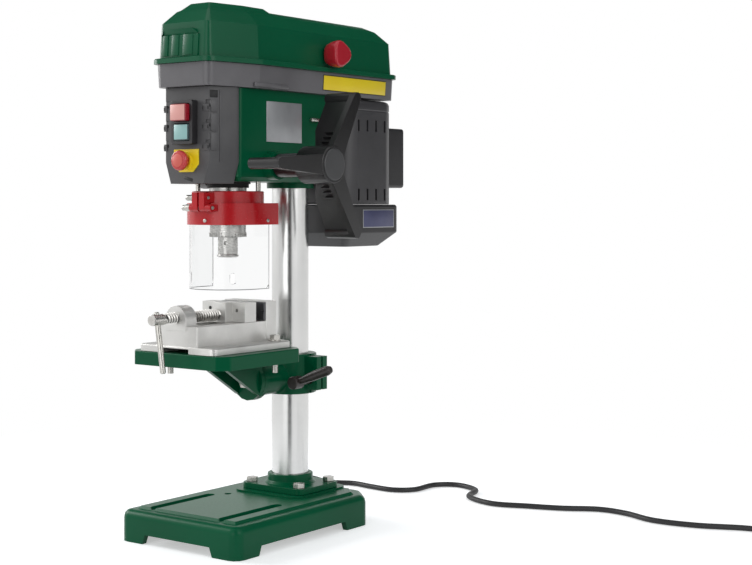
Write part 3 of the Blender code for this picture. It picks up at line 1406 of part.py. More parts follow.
def make_motor():
    centre = (0, MOTOR_Y, 0)
    square = rectangle(-1, 1, -1, 1)

    def level(half, corner, z):
        corners = [(x * half, y * half + MOTOR_Y) for x, y in square]
        return [(*point, z) for point in rounded(corners, corner)]

    low = BELL_TOP + GAP
    rings = [
        level(CAN_HALF, CAN_CORNER, low),
        level(CAN_HALF, CAN_CORNER, CAN_SEAM - CAN_GROOVE),
        level(CAN_HALF - CAN_GROOVE, CAN_CORNER - CAN_GROOVE, CAN_SEAM),
        level(CAN_HALF, CAN_CORNER, CAN_SEAM + CAN_GROOVE),
        level(CAN_HALF, CAN_CORNER, CAN_TOP - CAN_ROUNDING),
        level(CAN_HALF - CAN_ROUNDING / 3, CAN_CORNER - CAN_ROUNDING / 3, CAN_TOP - CAN_ROUNDING / 3),
        level(CAN_HALF - CAN_ROUNDING, CAN_CORNER - CAN_ROUNDING, CAN_TOP),
    ]
    pivot = (0, MOTOR_Y, BELL_BOTTOM)
    can = piece("motor_can", loft(rings), DARK, pivot)
    cut(can, rod(MOTOR_SHAFT_RADIUS + GAP, CAN_TOP - MOTOR_SHAFT_IN - GAP, CAN_TOP + OVER, centre))
    vents = []
    for z in VENT_Z:
        for number in range(VENT_COUNT):
            y = MOTOR_Y + (number - (VENT_COUNT - 1) / 2) * VENT_X
            half = VENT_LENGTH / 2
            for side in (-1, 1):
                face = side * CAN_HALF
                ends = sorted((face - side * VENT_DEPTH, face + side * OVER))
                vents.append(block(*ends, y - VENT_HALF, y + VENT_HALF, z - half, z + half))
    cut(can, merged(vents))
    rings = [
        level(BELL_HALF - BELL_CUT, BELL_CORNER, BELL_BOTTOM),
        level(BELL_HALF, BELL_CORNER, BELL_BOTTOM + BELL_CUT),
        level(BELL_HALF, BELL_CORNER, BELL_TOP - 2 * EDGE),
        level(BELL_HALF - 2 * EDGE, BELL_CORNER - 2 * EDGE, BELL_TOP),
    ]
    piece("motor_bell", loft(rings), DARK, pivot)
    front = MOTOR_Y + CAN_HALF + GAP
    outline = rounded(
        rectangle(-CAPACITOR_HALF, CAPACITOR_HALF, CAPACITOR_BOTTOM, CAPACITOR_TOP), CAPACITOR_EDGE, 3
    )
    edge = CAPACITOR_EDGE / 2
    small = [
        (x * (1 - edge / CAPACITOR_HALF), z)
        for x, z in outline
    ]
    rings = [
        [(x, front, z) for x, z in outline],
        [(x, front + CAPACITOR_DEPTH - edge, z) for x, z in outline],
        [(x, front + CAPACITOR_DEPTH, z) for x, z in small],
    ]
    piece("capacitor_box", loft(rings), BLACK, pivot)
    front = HEAD_REAR + PLATE_GAP
    outline = rounded(rectangle(-MOUNT_HALF, MOUNT_HALF, MOUNT_BOTTOM, MOUNT_TOP), MOUNT_CORNER, 3)
    rear = MOTOR_Y - CAN_HALF - GAP
    mount = piece("motor_mount", upright(outline, front, front + MOUNT_THICK), DARK, pivot)
    inner = MOUNT_HALF - 2 * MOUNT_CORNER
    pad = rectangle(-inner, inner, BELL_TOP + 3 * EDGE, CAN_SEAM - 3 * EDGE)
    add(mount, upright(pad, front + MOUNT_THICK / 2, rear))
    tall = BELL_TOP + EDGE
    cut(mount, block(-THROUGH, THROUGH, MOTOR_Y - BELL_HALF - GAP, MOTOR_Y, 0, tall))
    for side in (-1, 1):
        place = (side * ROD_X, front, ROD_Z)
        add(mount, rod(ROD_RADIUS, -ROD_LENGTH, MOUNT_THICK / 2, place, "Y"))


def make_bracket():
    """A split ring on the column, with a round arm that ends in the tilt disc."""
    centre = (0, 0, 0)
    ring = [
        (BRACKET_RADIUS - EDGE, BRACKET_BOTTOM),
        (BRACKET_RADIUS, BRACKET_BOTTOM + EDGE),
        (BRACKET_RADIUS, BRACKET_TOP - EDGE),
        (BRACKET_RADIUS - EDGE, BRACKET_TOP),
    ]
    bracket = piece("table_bracket", turned(ring, centre, steps=24), GREEN, (0, 0, TILT_Z))
    tilt = (0, 0, TILT_Z)
    arm = [
        (DISC_RADIUS, -DISC_Y),
        (DISC_RADIUS, -DISC_Y + DISC_THICK),
        (ARM_RADIUS, -DISC_Y + DISC_THICK),
        (ARM_RADIUS, -COLUMN_RADIUS),
    ]
    add(bracket, turned(arm, tilt, "Y", phase=math.pi / ARM_COUNT))
    ear_top = BRACKET_TOP - 2 * EDGE
    add(bracket, block(EAR_START, EAR_END, -EAR_HALF, EAR_HALF, EAR_BOTTOM, ear_top))
    cut(bracket, rod(COLUMN_RADIUS + GAP, 0, HEAD_BOTTOM, centre, steps=24))
    cut(bracket, block(COLUMN_WALL, EAR_END + OVER, -SLIT_HALF, SLIT_HALF, 0, HEAD_BOTTOM))
    stud = (LEVER_X, 0, LEVER_Z)
    cut(bracket, rod(LEVER_STUD_RADIUS + GAP, -EAR_HALF - OVER, EAR_HALF + OVER, stud, "Y", 16))
    cut(bracket, rod(TILT_BOLT_RADIUS + GAP, -DISC_Y - OVER, -COLUMN_RADIUS - OVER, tilt, "Y", 16))


def make_lever():
    stud = (LEVER_X, 0, LEVER_Z)
    front = -LEVER_FRONT - LEVER_HUB
    profile = [
        (LEVER_HUB_RADIUS - EDGE, front),
        (LEVER_HUB_RADIUS, front + EDGE),
        (LEVER_HUB_RADIUS, -LEVER_FRONT),
        (LEVER_STUD_RADIUS, -LEVER_FRONT),
        (LEVER_STUD_RADIUS, EAR_HALF + EDGE),
    ]
    lever = piece("table_clamp_lever", turned(profile, stud, "Y", 16), BLACK, stud)
    profile = [
        (LEVER_NECK_RADIUS, 0),
        (LEVER_NECK_RADIUS, LEVER_HUB_RADIUS),
        (LEVER_GRIP_RADIUS, LEVER_ARM / 2),
        (LEVER_GRIP_RADIUS, LEVER_ARM - LEVER_GRIP_RADIUS),
        (LEVER_GRIP_RADIUS * math.cos(math.pi / 4), LEVER_ARM - EDGE),
        (0, LEVER_ARM + EDGE),
    ]
    arm = turned(profile, (0, 0, 0), "X", 12)
    arm.transform(
        Matrix.Translation((LEVER_X, front + LEVER_HUB_RADIUS, LEVER_Z))
        @ Matrix.Rotation(-LEVER_RISE, 4, "Y")
    )
    add(lever, arm)


def make_table():
    corners = [
        (-TABLE_HALF + TABLE_CUT, -TABLE_FRONT),
        (TABLE_HALF - TABLE_CUT, -TABLE_FRONT),
        (TABLE_HALF, -TABLE_FRONT + TABLE_CUT),
        (TABLE_HALF, -TABLE_REAR - TABLE_CUT),
        (TABLE_HALF - TABLE_CUT, -TABLE_REAR),
        (-TABLE_HALF + TABLE_CUT, -TABLE_REAR),
        (-TABLE_HALF, -TABLE_REAR - TABLE_CUT),
        (-TABLE_HALF, -TABLE_FRONT + TABLE_CUT),
    ]
    low = TABLE_TOP - TABLE_THICK
    rings = []
    for inset, z in ((0, low), (0, TABLE_TOP - EDGE), (EDGE, TABLE_TOP)):
        rings.append([(*point, z) for point in rounded(offset(corners, inset), 4 * EDGE, 2)])
    tilt = (0, 0, TILT_Z)
    table = piece("table", loft(rings), GREEN, (0, -DISC_Y, TILT_Z))
    cut(table, prism(offset(corners, TABLE_WALL), low - OVER, TABLE_TOP - TABLE_PLATE))
    front_disc = -DISC_Y - GAP - DISC_THICK
    add(table, rod(DISC_RADIUS, front_disc, front_disc + DISC_THICK, tilt, "Y"))
    bottom = TILT_Z - DISC_RADIUS * math.cos(math.pi / 4)
    under = TABLE_TOP - TABLE_PLATE / 2
    web = [
        (-RIB_FRONT, under),
        (-RIB_FRONT, low - EDGE),
        (front_disc, bottom),
        (front_disc + DISC_THICK, bottom),
        (front_disc + DISC_THICK, under),
    ]
    for side in (-1, 1):
        x = side * RIB_X
        add(table, sideways(web, x - RIB_HALF_THICK, x + RIB_HALF_THICK))
    inner = RIB_X - RIB_HALF_THICK / 2
    neck = block(-inner, inner, front_disc, front_disc + DISC_THICK, TILT_Z, under)
    add(table, neck)
    cut(table, rod(TABLE_HOLE_RADIUS, low - OVER, TABLE_TOP + OVER, (0, -TABLE_MID, 0)))
    for side in (-1, 1):
        slot = stadium(
            side * TABLE_SLOT_X,
            -TABLE_MID - TABLE_SLOT_HALF,
            -TABLE_MID + TABLE_SLOT_HALF,
            TABLE_SLOT_RADIUS,
        )
        cut(table, prism(slot, low - OVER, TABLE_TOP + OVER))
    cut(table, rod(TILT_BOLT_RADIUS + GAP, front_disc - OVER, -DISC_Y + OVER, tilt, "Y", 16))
    head_back = front_disc - GAP
    shape = hexagon(TILT_HEX, head_back - TILT_HEAD, head_back, tilt, "Y")
    bolt = piece("tilt_bolt", shape, STEEL, (0, -DISC_Y, TILT_Z))
    end = -COLUMN_RADIUS - 3 * OVER
    add(bolt, rod(TILT_BOLT_RADIUS, head_back - TILT_HEAD / 2, end, tilt, "Y", 16))


def make_vise():
    low = TABLE_TOP + GAP
    flange_top = low + VISE_FLANGE
    corners = rectangle(-FLANGE_HALF, FLANGE_HALF, -VISE_FRONT, -VISE_REAR)
    rings = []
    for inset, z in ((0, low), (0, flange_top - EDGE), (EDGE, flange_top)):
        rings.append([(*point, z) for point in rounded(offset(corners, inset), VISE_CORNER)])
    vise = piece("vise_body", loft(rings), CAST_METAL)
    body = rectangle(-VISE_HALF, VISE_HALF, -VISE_BODY_FRONT, -VISE_BODY_REAR)
    add(vise, prism(rounded(body, 2 * EDGE, 2), low + VISE_FLANGE / 2, VISE_TOP))
    rear_face = -VISE_BODY_REAR
    jaw_half = VISE_HALF + EDGE
    back = prism(
        rounded(rectangle(-jaw_half, jaw_half, rear_face - FIXED_JAW, rear_face), 2 * EDGE, 2),
        flange_top,
        JAW_TOP,
    )
    add(vise, back)
    dome = [(-BOSS_HALF, VISE_TOP - OVER)]
    dome += [(BOSS_HALF, VISE_TOP - OVER)]
    spring = JAW_TOP - BOSS_HALF
    for k in range(13):
        turn = math.pi * k / 12
        dome.append((BOSS_HALF * math.cos(turn), spring + BOSS_HALF * math.sin(turn)))
    boss_front = -VISE_BODY_FRONT - EDGE
    add(vise, upright(dome, boss_front, boss_front + BOSS_DEPTH))
    front, rear = -VISE_FRONT - OVER, -VISE_REAR + OVER
    cut(vise, block(-ARCH_HALF, ARCH_HALF, front, rear, low - OVER, low + ARCH_HEIGHT))
    way_front = boss_front + BOSS_DEPTH + OVER
    way_rear = rear_face - FIXED_JAW - JAW_PLATE
    cut(vise, block(-WAY_HALF, WAY_HALF, way_front, way_rear, VISE_TOP - WAY_DEPTH, VISE_TOP + OVER))
    screw = (0, 0, SCREW_Z)
    cut(vise, rod(SCREW_RADIUS + GAP, boss_front - OVER, way_front, screw, "Y"))
    for x, y in ((HOLD_X, -HOLD_REAR), (-HOLD_X, -HOLD_FRONT)):
        cut(vise, rod(HOLD_RADIUS + GAP, low - OVER, VISE_TOP, (x, y, 0), steps=16))
    plate_front = rear_face - FIXED_JAW - GAP - JAW_PLATE
    half = VISE_HALF + EDGE
    plate = block(
        -half, half, plate_front, plate_front + JAW_PLATE, VISE_TOP + EDGE, JAW_TOP - EDGE
    )
    plate = piece("fixed_jaw_plate", plate, STEEL)
    middle = (VISE_TOP + JAW_TOP) / 2
    groove = JAW_PLATE_GROOVE
    face = plate_front + groove / 2
    cut(plate, block(-groove, groove, plate_front - OVER, face, VISE_TOP, JAW_TOP))
    groove_low = middle - groove
    groove_high = middle + groove
    cut(plate, block(-2 * half, 2 * half, plate_front - OVER, face, groove_low, groove_high))
    back = -MOVING_BACK
    wing = back - MOVING_WING
    nose = wing - MOVING_FRONT
    slide_bottom = VISE_TOP + GAP
    plan = [
        (-MOVING_BOSS_HALF, nose),
        (MOVING_BOSS_HALF, nose),
        (MOVING_BOSS_HALF, wing),
        (jaw_half, wing),
        (jaw_half, back),
        (-jaw_half, back),
        (-jaw_half, wing),
        (-MOVING_BOSS_HALF, wing),
    ]
    pivot = (0, back, SCREW_Z)
    jaw = piece("moving_jaw", prism(plan, slide_bottom, JAW_TOP), CAST_METAL, pivot)
    foot = WAY_HALF - GAP
    add(
        jaw,
        block(-foot, foot, wing, back, VISE_TOP - WAY_DEPTH + GAP, VISE_TOP + 2 * EDGE),
    )
    end = nose + SCREW_IN_JAW
    cut(jaw, rod(SCREW_RADIUS + GAP, nose - OVER, end + GAP, screw, "Y"))
    for side in (-1, 1):
        hole = (side * JAW_HOLE_X, wing, (slide_bottom + JAW_TOP) / 2 + 2 * EDGE)
        cut(jaw, rod(JAW_HOLE_RADIUS, -OVER, JAW_HOLE_DEPTH, hole, "Y", 12))
    make_vise_screw(boss_front, end)
    for number, (x, y) in enumerate(((HOLD_X, -HOLD_REAR), (-HOLD_X, -HOLD_FRONT))):
        seat = flange_top + GAP
        place = (x, y, 0)
        profile = [(HOLD_WASHER_RADIUS, seat), (HOLD_WASHER_RADIUS, seat + HOLD_WASHER)]
        bolt = piece(f"vise_bolt_{number + 1}", turned(profile, place, steps=20), STEEL)
        top = seat + HOLD_WASHER + HOLD_HEAD
        add(bolt, hexagon(HOLD_HEX, seat + HOLD_WASHER / 2, top, place))
        bottom = low - TABLE_THICK - HOLD_UNDER
        add(bolt, rod(HOLD_RADIUS, bottom, top - EDGE, place, steps=12))


def make_vise_screw(boss_front, end):
    """The screw has a head with a cross hole for its bar."""
    head_back = boss_front - SCREW_OUT
    head_front = head_back - SCREW_HEAD
    profile = [
        (SCREW_HEAD_RADIUS - EDGE, head_front),
        (SCREW_HEAD_RADIUS, head_front + EDGE),
        (SCREW_HEAD_RADIUS, head_back),
        (SCREW_RADIUS, head_back),
        (SCREW_RADIUS, end),
    ]
    centre = (0, 0, SCREW_Z)
    middle = (head_front + head_back) / 2
    pivot = (0, middle, SCREW_Z)
    screw = piece("vise_screw", turned(profile, centre, "Y", 16), STEEL, pivot)
    lean = Matrix.Translation(pivot) @ Matrix.Rotation(-TOMMY_LEAN, 4, "Y")
    hole = rod(TOMMY_RADIUS + GAP, -2 * SCREW_HEAD_RADIUS, 2 * SCREW_HEAD_RADIUS, (0, 0, 0), steps=16)
    hole.transform(lean)
    cut(screw, hole)
    bottom = TOMMY_ABOVE - TOMMY_LENGTH
    profile = [
        (TOMMY_RADIUS - EDGE, bottom),
        (TOMMY_RADIUS, bottom + EDGE),
        (TOMMY_RADIUS, TOMMY_ABOVE - EDGE),
        (TOMMY_RADIUS - EDGE, TOMMY_ABOVE),
    ]
    bar = turned(profile, (0, 0, 0), steps=16)
    bar.transform(lean)
    piece("tommy_bar", bar, STEEL, pivot)


def band_outline(radius, back, steps=16):
    """Half a circle round the spindle, open to the rear, with straight legs."""
    points = [(-radius, SPINDLE_Y + back)]
    for k in range(steps + 1):
        turn = math.pi + math.pi * k / steps
        points.append((radius * math.cos(turn), SPINDLE_Y + radius * math.sin(turn)))
    points.append((radius, SPINDLE_Y + back))
    return points


def band(outer, wall, back, bottom, top):
    outside = band_outline(outer, back)
    inside = band_outline(outer - wall, back)
    return prism(outside + inside[::-1], bottom, top)


def make_guard():
    """The collar is pinched onto the nose. A pin along X through its front block carries the guard."""
    centre = (0, SPINDLE_Y, 0)
    profile = [
        (COLLAR_OUT_RADIUS, COLLAR_BOTTOM),
        (COLLAR_OUT_RADIUS, COLLAR_TOP - EDGE),
        (COLLAR_OUT_RADIUS - EDGE, COLLAR_TOP),
    ]
    collar = piece("guard_collar", turned(profile, centre), RED)
    band_front = SPINDLE_Y - BAND_RADIUS
    plate_rear = band_front - KNUCKLE_GAP
    plate_front = plate_rear - BLOCK_DEPTH + KNUCKLE_GAP
    block_top = COLLAR_TOP - BLOCK_DROP
    ring_front = SPINDLE_Y - COLLAR_OUT_RADIUS
    shelf = block(
        BLOCK_LEFT, BLOCK_RIGHT, plate_front, ring_front + OVER, BAND_TOP + KNUCKLE_GAP, block_top
    )
    plate = block(
        BLOCK_LEFT, BLOCK_RIGHT, plate_front, plate_rear, GUARD_PIVOT_Z, BAND_TOP + 2 * KNUCKLE_GAP
    )
    pivot = (0, GUARD_PIVOT_Y, GUARD_PIVOT_Z)
    knuckle = rod(GUARD_KNUCKLE_RADIUS, BLOCK_LEFT, BLOCK_RIGHT, pivot, "X", 20)
    add(collar, shelf, plate, knuckle)
    bore = rod(NOSE_RADIUS + GAP, COLLAR_BOTTOM - OVER, COLLAR_TOP + OVER, centre, steps=24)
    cut(collar, bore)
    middle = (BLOCK_LEFT + BLOCK_RIGHT) / 2
    split = block(
        middle - COLLAR_SPLIT / 2,
        middle + COLLAR_SPLIT / 2,
        plate_front - OVER,
        SPINDLE_Y,
        GUARD_PIVOT_Z - OVER - GUARD_KNUCKLE_RADIUS,
        COLLAR_TOP + OVER,
    )
    cut(collar, split)
    bolt_z = (BAND_TOP + KNUCKLE_GAP + block_top) / 2
    bolt = (0, (plate_front + ring_front) / 2, bolt_z)
    start = BLOCK_LEFT - OVER
    cut(collar, rod(CLAMP_BOLT_RADIUS + GAP, start, BLOCK_RIGHT + OVER, bolt, "X", 12))
    cut(collar, rod(PIVOT_RADIUS + GAP, start, BLOCK_RIGHT + OVER, pivot, "X", 12))
    seat = BLOCK_LEFT - GAP
    profile = [
        (CLAMP_BOLT_HEAD_RADIUS, seat - CLAMP_BOLT_HEAD),
        (CLAMP_BOLT_HEAD_RADIUS, seat),
        (CLAMP_BOLT_RADIUS, seat),
        (CLAMP_BOLT_RADIUS, BLOCK_RIGHT + EDGE),
    ]
    piece("collar_screw", turned(profile, bolt, "X", 16), STEEL)
    for side, name in ((-1, "left"), (1, "right")):
        place = (side * GUIDE_X, SPINDLE_Y + side * GUIDE_Y, 0)
        bottom = COLLAR_TOP - GUIDE_IN_COLLAR
        cut(collar, rod(GUIDE_RADIUS + GAP, bottom - GAP, COLLAR_TOP + OVER, place, steps=12))
        top = HEAD_BOTTOM + GUIDE_INTO_HEAD
        piece(f"guide_rod_{name}", rod(GUIDE_RADIUS, bottom, top, place, steps=12), BLACK)
    shape = band(BAND_RADIUS, BAND_WALL, LEG_BACK, BAND_BOTTOM, BAND_TOP)
    red_band = piece("guard_band", shape, RED, pivot)
    inner = BAND_RADIUS - BAND_WALL / 2
    lugs = (
        (BLOCK_LEFT - GAP - LEFT_LUG, BLOCK_LEFT - GAP),
        (BLOCK_RIGHT + GAP, BLOCK_RIGHT + GAP + RIGHT_LUG),
    )
    for left, right in lugs:
        near = min(abs(left), abs(right))
        rear = SPINDLE_Y - math.sqrt(inner**2 - near**2)
        low = GUARD_PIVOT_Z - GUARD_KNUCKLE_RADIUS + EDGE / 2
        high = GUARD_PIVOT_Z + GUARD_KNUCKLE_RADIUS - EDGE / 2
        web = block(left + EDGE / 2, right - EDGE / 2, GUARD_PIVOT_Y, rear, low, high)
        add(red_band, rod(GUARD_KNUCKLE_RADIUS, left, right, pivot, "X", 20), web)
    start = lugs[0][0]
    end = lugs[1][1]
    cut(red_band, rod(PIVOT_RADIUS + GAP, start - OVER, end + OVER, pivot, "X", 12))
    profile = [
        (PIVOT_HEAD_RADIUS, start - GAP - PIVOT_HEAD),
        (PIVOT_HEAD_RADIUS, start - GAP),
        (PIVOT_RADIUS, start - GAP),
        (PIVOT_RADIUS, end + EDGE),
    ]
    piece("guard_pivot_pin", turned(profile, pivot, "X", 16), STEEL, pivot)
    outer = BAND_RADIUS - BAND_WALL - GAP
    shape = band(outer, SHIELD_WALL, SHIELD_LEG_BACK, SHIELD_BOTTOM, SHIELD_TOP)
    shield = piece("chuck_guard", shape, CLEAR, pivot)
    back = SPINDLE_Y + SHIELD_LEG_BACK
    corner = [(back + EDGE, SHIELD_BOTTOM - EDGE), (back + EDGE, SHIELD_BOTTOM + SHIELD_CORNER)]
    for k in range(5):
        turn = math.pi / 2 * k / 4
        corner.append(
            (
                back - SHIELD_CORNER * (1 - math.cos(turn)),
                SHIELD_BOTTOM + SHIELD_CORNER * (1 - math.sin(turn)),
            )
        )
    corner.append((back - SHIELD_CORNER, SHIELD_BOTTOM - EDGE))
    cut(shield, sideways(corner, -BAND_RADIUS - OVER, BAND_RADIUS + OVER))
    for side in (-1, 1):
        slot = stadium(side * SHIELD_SLOT_X, SHIELD_SLOT[0], SHIELD_SLOT[1], SHIELD_SLOT_RADIUS, 4)
        cut(shield, upright(slot, SPINDLE_Y - BAND_RADIUS - OVER, SPINDLE_Y - COLLAR_SPLIT))


def smooth_route(points):
    """A smooth curve through the points, read at even steps along it."""
    fine = []
    for k in range(len(points) - 1):
        before = points[max(k - 1, 0)]
        after = points[min(k + 2, len(points) - 1)]
        here, ahead = points[k], points[k + 1]
        for step in range(ROUTE_SHARES):
            t = step / ROUTE_SHARES
            fine.append(
                (
                    here * 2
                    + (ahead - before) * t
                    + (before * 2 - here * 5 + ahead * 4 - after) * t**2
                    + (after - ahead * 3 + here * 3 - before) * t**3
                )
                / 2
            )
    fine.append(points[-1])
    along = [0.0]
    for start, end in zip(fine, fine[1:]):
        along.append(along[-1] + (end - start).length)
    even = []
    k = 0
    for number in range(CORD_POINTS):
        wanted = along[-1] * number / (CORD_POINTS - 1)
        while k < len(fine) - 2 and along[k + 1] < wanted:
            k += 1
        share = (wanted - along[k]) / (along[k + 1] - along[k])
        even.append(fine[k].lerp(fine[k + 1], share))
    return even, along[-1]


def make_lead():
    """A tapered gland under the head, the lead at its real length and a plug with round pins."""
    gland = (GLAND_X, GLAND_Y, 0)
    seat = HEAD_BOTTOM - GAP
    tip = HEAD_BOTTOM - GLAND_LENGTH
    profile = [
        (GLAND_TIP_RADIUS, tip),
        (GLAND_RADIUS - EDGE, seat - GLAND_NUT),
        (GLAND_RADIUS, seat - GLAND_NUT),
        (GLAND_RADIUS, seat),
        (GLAND_SEAT_RADIUS, seat),
        (GLAND_SEAT_RADIUS, seat + GLAND_SEAT),
    ]
    piece("cord_gland", turned(profile, gland, steps=12), BLACK)
    points = [Vector((GLAND_X, GLAND_Y, tip - GAP))] + [Vector(point) for point in CORD_ROUTE]
    even, length = smooth_route(points)
    print("the lead is", round(length, 3), "m long")
    curve = bpy.data.curves.new("power_cord", "CURVE")
    curve.dimensions = "3D"
    curve.bevel_depth = CORD_RADIUS
    curve.bevel_resolution = 2
    curve.use_fill_caps = True
    spline = curve.splines.new("POLY")
    spline.points.add(CORD_POINTS - 1)
    for target, point in zip(spline.points, even):
        target.co = (*point, 1)
    cord = bpy.data.objects.new("power_cord", curve)
    bpy.context.scene.collection.objects.link(cord)
    cord.parent = MACHINE
    cord.data.materials.append(finish("power_cord", *BLACK))
    heading = even[-1] - even[-2]
    heading.z = 0
    start = GAP
    body = start + PLUG_NECK
    end = body + PLUG_LENGTH
    profile = [
        (PLUG_NECK_RADIUS, start),
        (PLUG_NECK_RADIUS, body - 2 * EDGE),
        (PLUG_WAIST_RADIUS, body + PLUG_LENGTH / 3),
        (PLUG_RADIUS, body + PLUG_LENGTH / 2),
        (PLUG_RADIUS, end),
    ]
    place = Matrix.Translation(even[-1]) @ heading.to_track_quat("Z", "Y").to_matrix().to_4x4()
    shape = turned(profile, (0, 0, 0), steps=16)
    shape.transform(place)
    plug = piece("mains_plug", shape, BLACK)
    for side in (-1, 1):
        foot = (side * PLUG_PIN_OUT, 0, 0)
        pin = rod(PLUG_PIN_RADIUS, end - EDGE, end + PLUG_PIN_LENGTH, foot, steps=12)
        pin.transform(place)
        add(plug, pin)


clear_scene()
MACHINE = bpy.data.objects.new("machine", None)
bpy.context.scene.collection.objects.link(MACHINE)
MACHINE.location = (COLUMN_X, COLUMN_Y, 0)

make_base()
make_flange()
make_column()
make_head()
make_nose()
make_quill()
make_feed_shaft()
make_spring_housing()
make_handle()
make_spindle_and_chuck()
make_pulleys()
make_belt_housing()
make_cover()
make_grips()
make_panel()
make_switch()
make_emergency_stop()
make_motor()
make_bracket()
make_lever()
make_table()
make_vise()
make_guard()
make_lead()
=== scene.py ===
"""Benchtop drill press: the finish of every piece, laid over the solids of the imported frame."""

import json
import math

import bpy
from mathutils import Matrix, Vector

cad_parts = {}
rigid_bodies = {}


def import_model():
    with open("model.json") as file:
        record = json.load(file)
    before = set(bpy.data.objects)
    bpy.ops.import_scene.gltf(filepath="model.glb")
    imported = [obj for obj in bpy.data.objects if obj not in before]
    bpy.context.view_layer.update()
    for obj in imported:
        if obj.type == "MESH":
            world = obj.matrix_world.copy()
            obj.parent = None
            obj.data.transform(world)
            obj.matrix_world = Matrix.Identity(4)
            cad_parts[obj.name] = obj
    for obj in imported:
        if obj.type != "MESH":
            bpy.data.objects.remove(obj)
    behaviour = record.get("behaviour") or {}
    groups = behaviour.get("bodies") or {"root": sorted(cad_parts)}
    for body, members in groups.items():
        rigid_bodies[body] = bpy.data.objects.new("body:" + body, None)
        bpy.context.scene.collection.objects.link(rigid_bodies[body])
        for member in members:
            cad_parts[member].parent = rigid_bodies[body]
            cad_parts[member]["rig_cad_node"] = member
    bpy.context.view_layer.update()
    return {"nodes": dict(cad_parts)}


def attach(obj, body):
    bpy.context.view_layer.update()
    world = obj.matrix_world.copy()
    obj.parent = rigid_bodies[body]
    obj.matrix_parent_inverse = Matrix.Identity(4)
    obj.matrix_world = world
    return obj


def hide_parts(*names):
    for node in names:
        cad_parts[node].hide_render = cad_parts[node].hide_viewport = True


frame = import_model()

# Camera. It stands front right of the press at the height of the chuck, level, with a long lens
# and a shift that brings the base into the picture. All places are measured from the column.
column_foot = Vector((-0.0265, 0.0245, 0.0))
camera_turn = math.radians(36.45)
line_of_sight = Vector((-math.sin(camera_turn), math.cos(camera_turn), 0))
to_the_right = Vector((math.cos(camera_turn), math.sin(camera_turn), 0))
lens = bpy.data.cameras.new("long lens")
lens.lens = 70.72
lens.sensor_width = 36
lens.shift_y = -0.10625
camera = bpy.data.objects.new("camera", lens)
bpy.context.scene.collection.objects.link(camera)
camera.location = column_foot - 1.8568 * line_of_sight + 0.1078 * to_the_right + Vector((0, 0, 0.3991))
camera.rotation_euler = (math.radians(90), 0, camera_turn)
bpy.context.scene.camera = camera
bpy.context.scene.view_settings.view_transform = "Standard"


def at(x, y, z):
    """A place in millimetres from the foot of the column, as a place in the frame."""
    return Vector((x / 1000, y / 1000, z / 1000)) + column_foot


def tint(red, green, blue):
    """A colour from a screen's 0 to 255 as the shader counts it."""
    parts = [share / 255 for share in (red, green, blue)]
    return [c / 12.92 if c <= 0.04045 else ((c + 0.055) / 1.055) ** 2.4 for c in parts] + [1.0]


# Room. A pale floor that keeps the shadow and fades into a white surround, four soft boxes, and
# four dark cards that only gloss sees, as a photographer puts beside bright metal and enamel.
floor_size = 14
shadow_reach = 0.4
floor_reach = 0.9
lamp_aim = Vector((0, 0, 0.3))
highest_card_aim = 1.0


def seen_rays(tree):
    """Full for the rays of the camera, of mirrors and of clear plastic, and nothing for the others."""
    ray = tree.nodes.new("ShaderNodeLightPath")
    seen = tree.nodes.new("ShaderNodeMath")
    seen.operation = "ADD"
    seen.use_clamp = True
    clear_seen = tree.nodes.new("ShaderNodeMath")
    clear_seen.operation = "ADD"
    clear_seen.use_clamp = True
    tree.links.new(ray.outputs["Is Camera Ray"], seen.inputs[0])
    tree.links.new(ray.outputs["Is Glossy Ray"], seen.inputs[1])
    tree.links.new(seen.outputs[0], clear_seen.inputs[0])
    tree.links.new(ray.outputs["Is Transmission Ray"], clear_seen.inputs[1])
    return clear_seen.outputs[0]


bpy.ops.mesh.primitive_plane_add(size=floor_size, location=(0, 0, -0.0003))
floor = bpy.context.active_object
floor.name = "pale_floor"
pale = bpy.data.materials.new("pale floor")
pale.use_nodes = True
tree = pale.node_tree
tree.nodes.clear()
is_seen = seen_rays(tree)
plain = tree.nodes.new("ShaderNodeBsdfDiffuse")
plain.inputs["Color"].default_value = (0.62, 0.62, 0.62, 1)
bright = tree.nodes.new("ShaderNodeBsdfDiffuse")
bright.inputs["Color"].default_value = (0.8, 0.8, 0.8, 1)
lift = tree.nodes.new("ShaderNodeEmission")
lift.inputs["Color"].default_value = (1, 1, 1, 1)
lift.inputs["Strength"].default_value = 0.45
lifted = tree.nodes.new("ShaderNodeAddShader")
tree.links.new(bright.outputs[0], lifted.inputs[0])
tree.links.new(lift.outputs[0], lifted.inputs[1])
either = tree.nodes.new("ShaderNodeMixShader")
tree.links.new(is_seen, either.inputs["Fac"])
tree.links.new(plain.outputs[0], either.inputs[1])
tree.links.new(lifted.outputs[0], either.inputs[2])
place = tree.nodes.new("ShaderNodeTexCoord")
distance = tree.nodes.new("ShaderNodeVectorMath")
distance.operation = "LENGTH"
fade = tree.nodes.new("ShaderNodeMapRange")
fade.inputs["From Min"].default_value = shadow_reach
fade.inputs["From Max"].default_value = floor_reach
far_and_seen = tree.nodes.new("ShaderNodeMath")
far_and_seen.operation = "MULTIPLY"
surround = tree.nodes.new("ShaderNodeEmission")
surround.inputs["Strength"].default_value = 1.0
faded = tree.nodes.new("ShaderNodeMixShader")
tree.links.new(place.outputs["Object"], distance.inputs[0])
tree.links.new(distance.outputs["Value"], fade.inputs["Value"])
tree.links.new(fade.outputs["Result"], far_and_seen.inputs[0])
tree.links.new(is_seen, far_and_seen.inputs[1])
tree.links.new(far_and_seen.outputs[0], faded.inputs["Fac"])
tree.links.new(either.outputs[0], faded.inputs[1])
tree.links.new(surround.outputs[0], faded.inputs[2])
surface_out = tree.nodes.new("ShaderNodeOutputMaterial")
tree.links.new(faded.outputs[0], surface_out.inputs["Surface"])
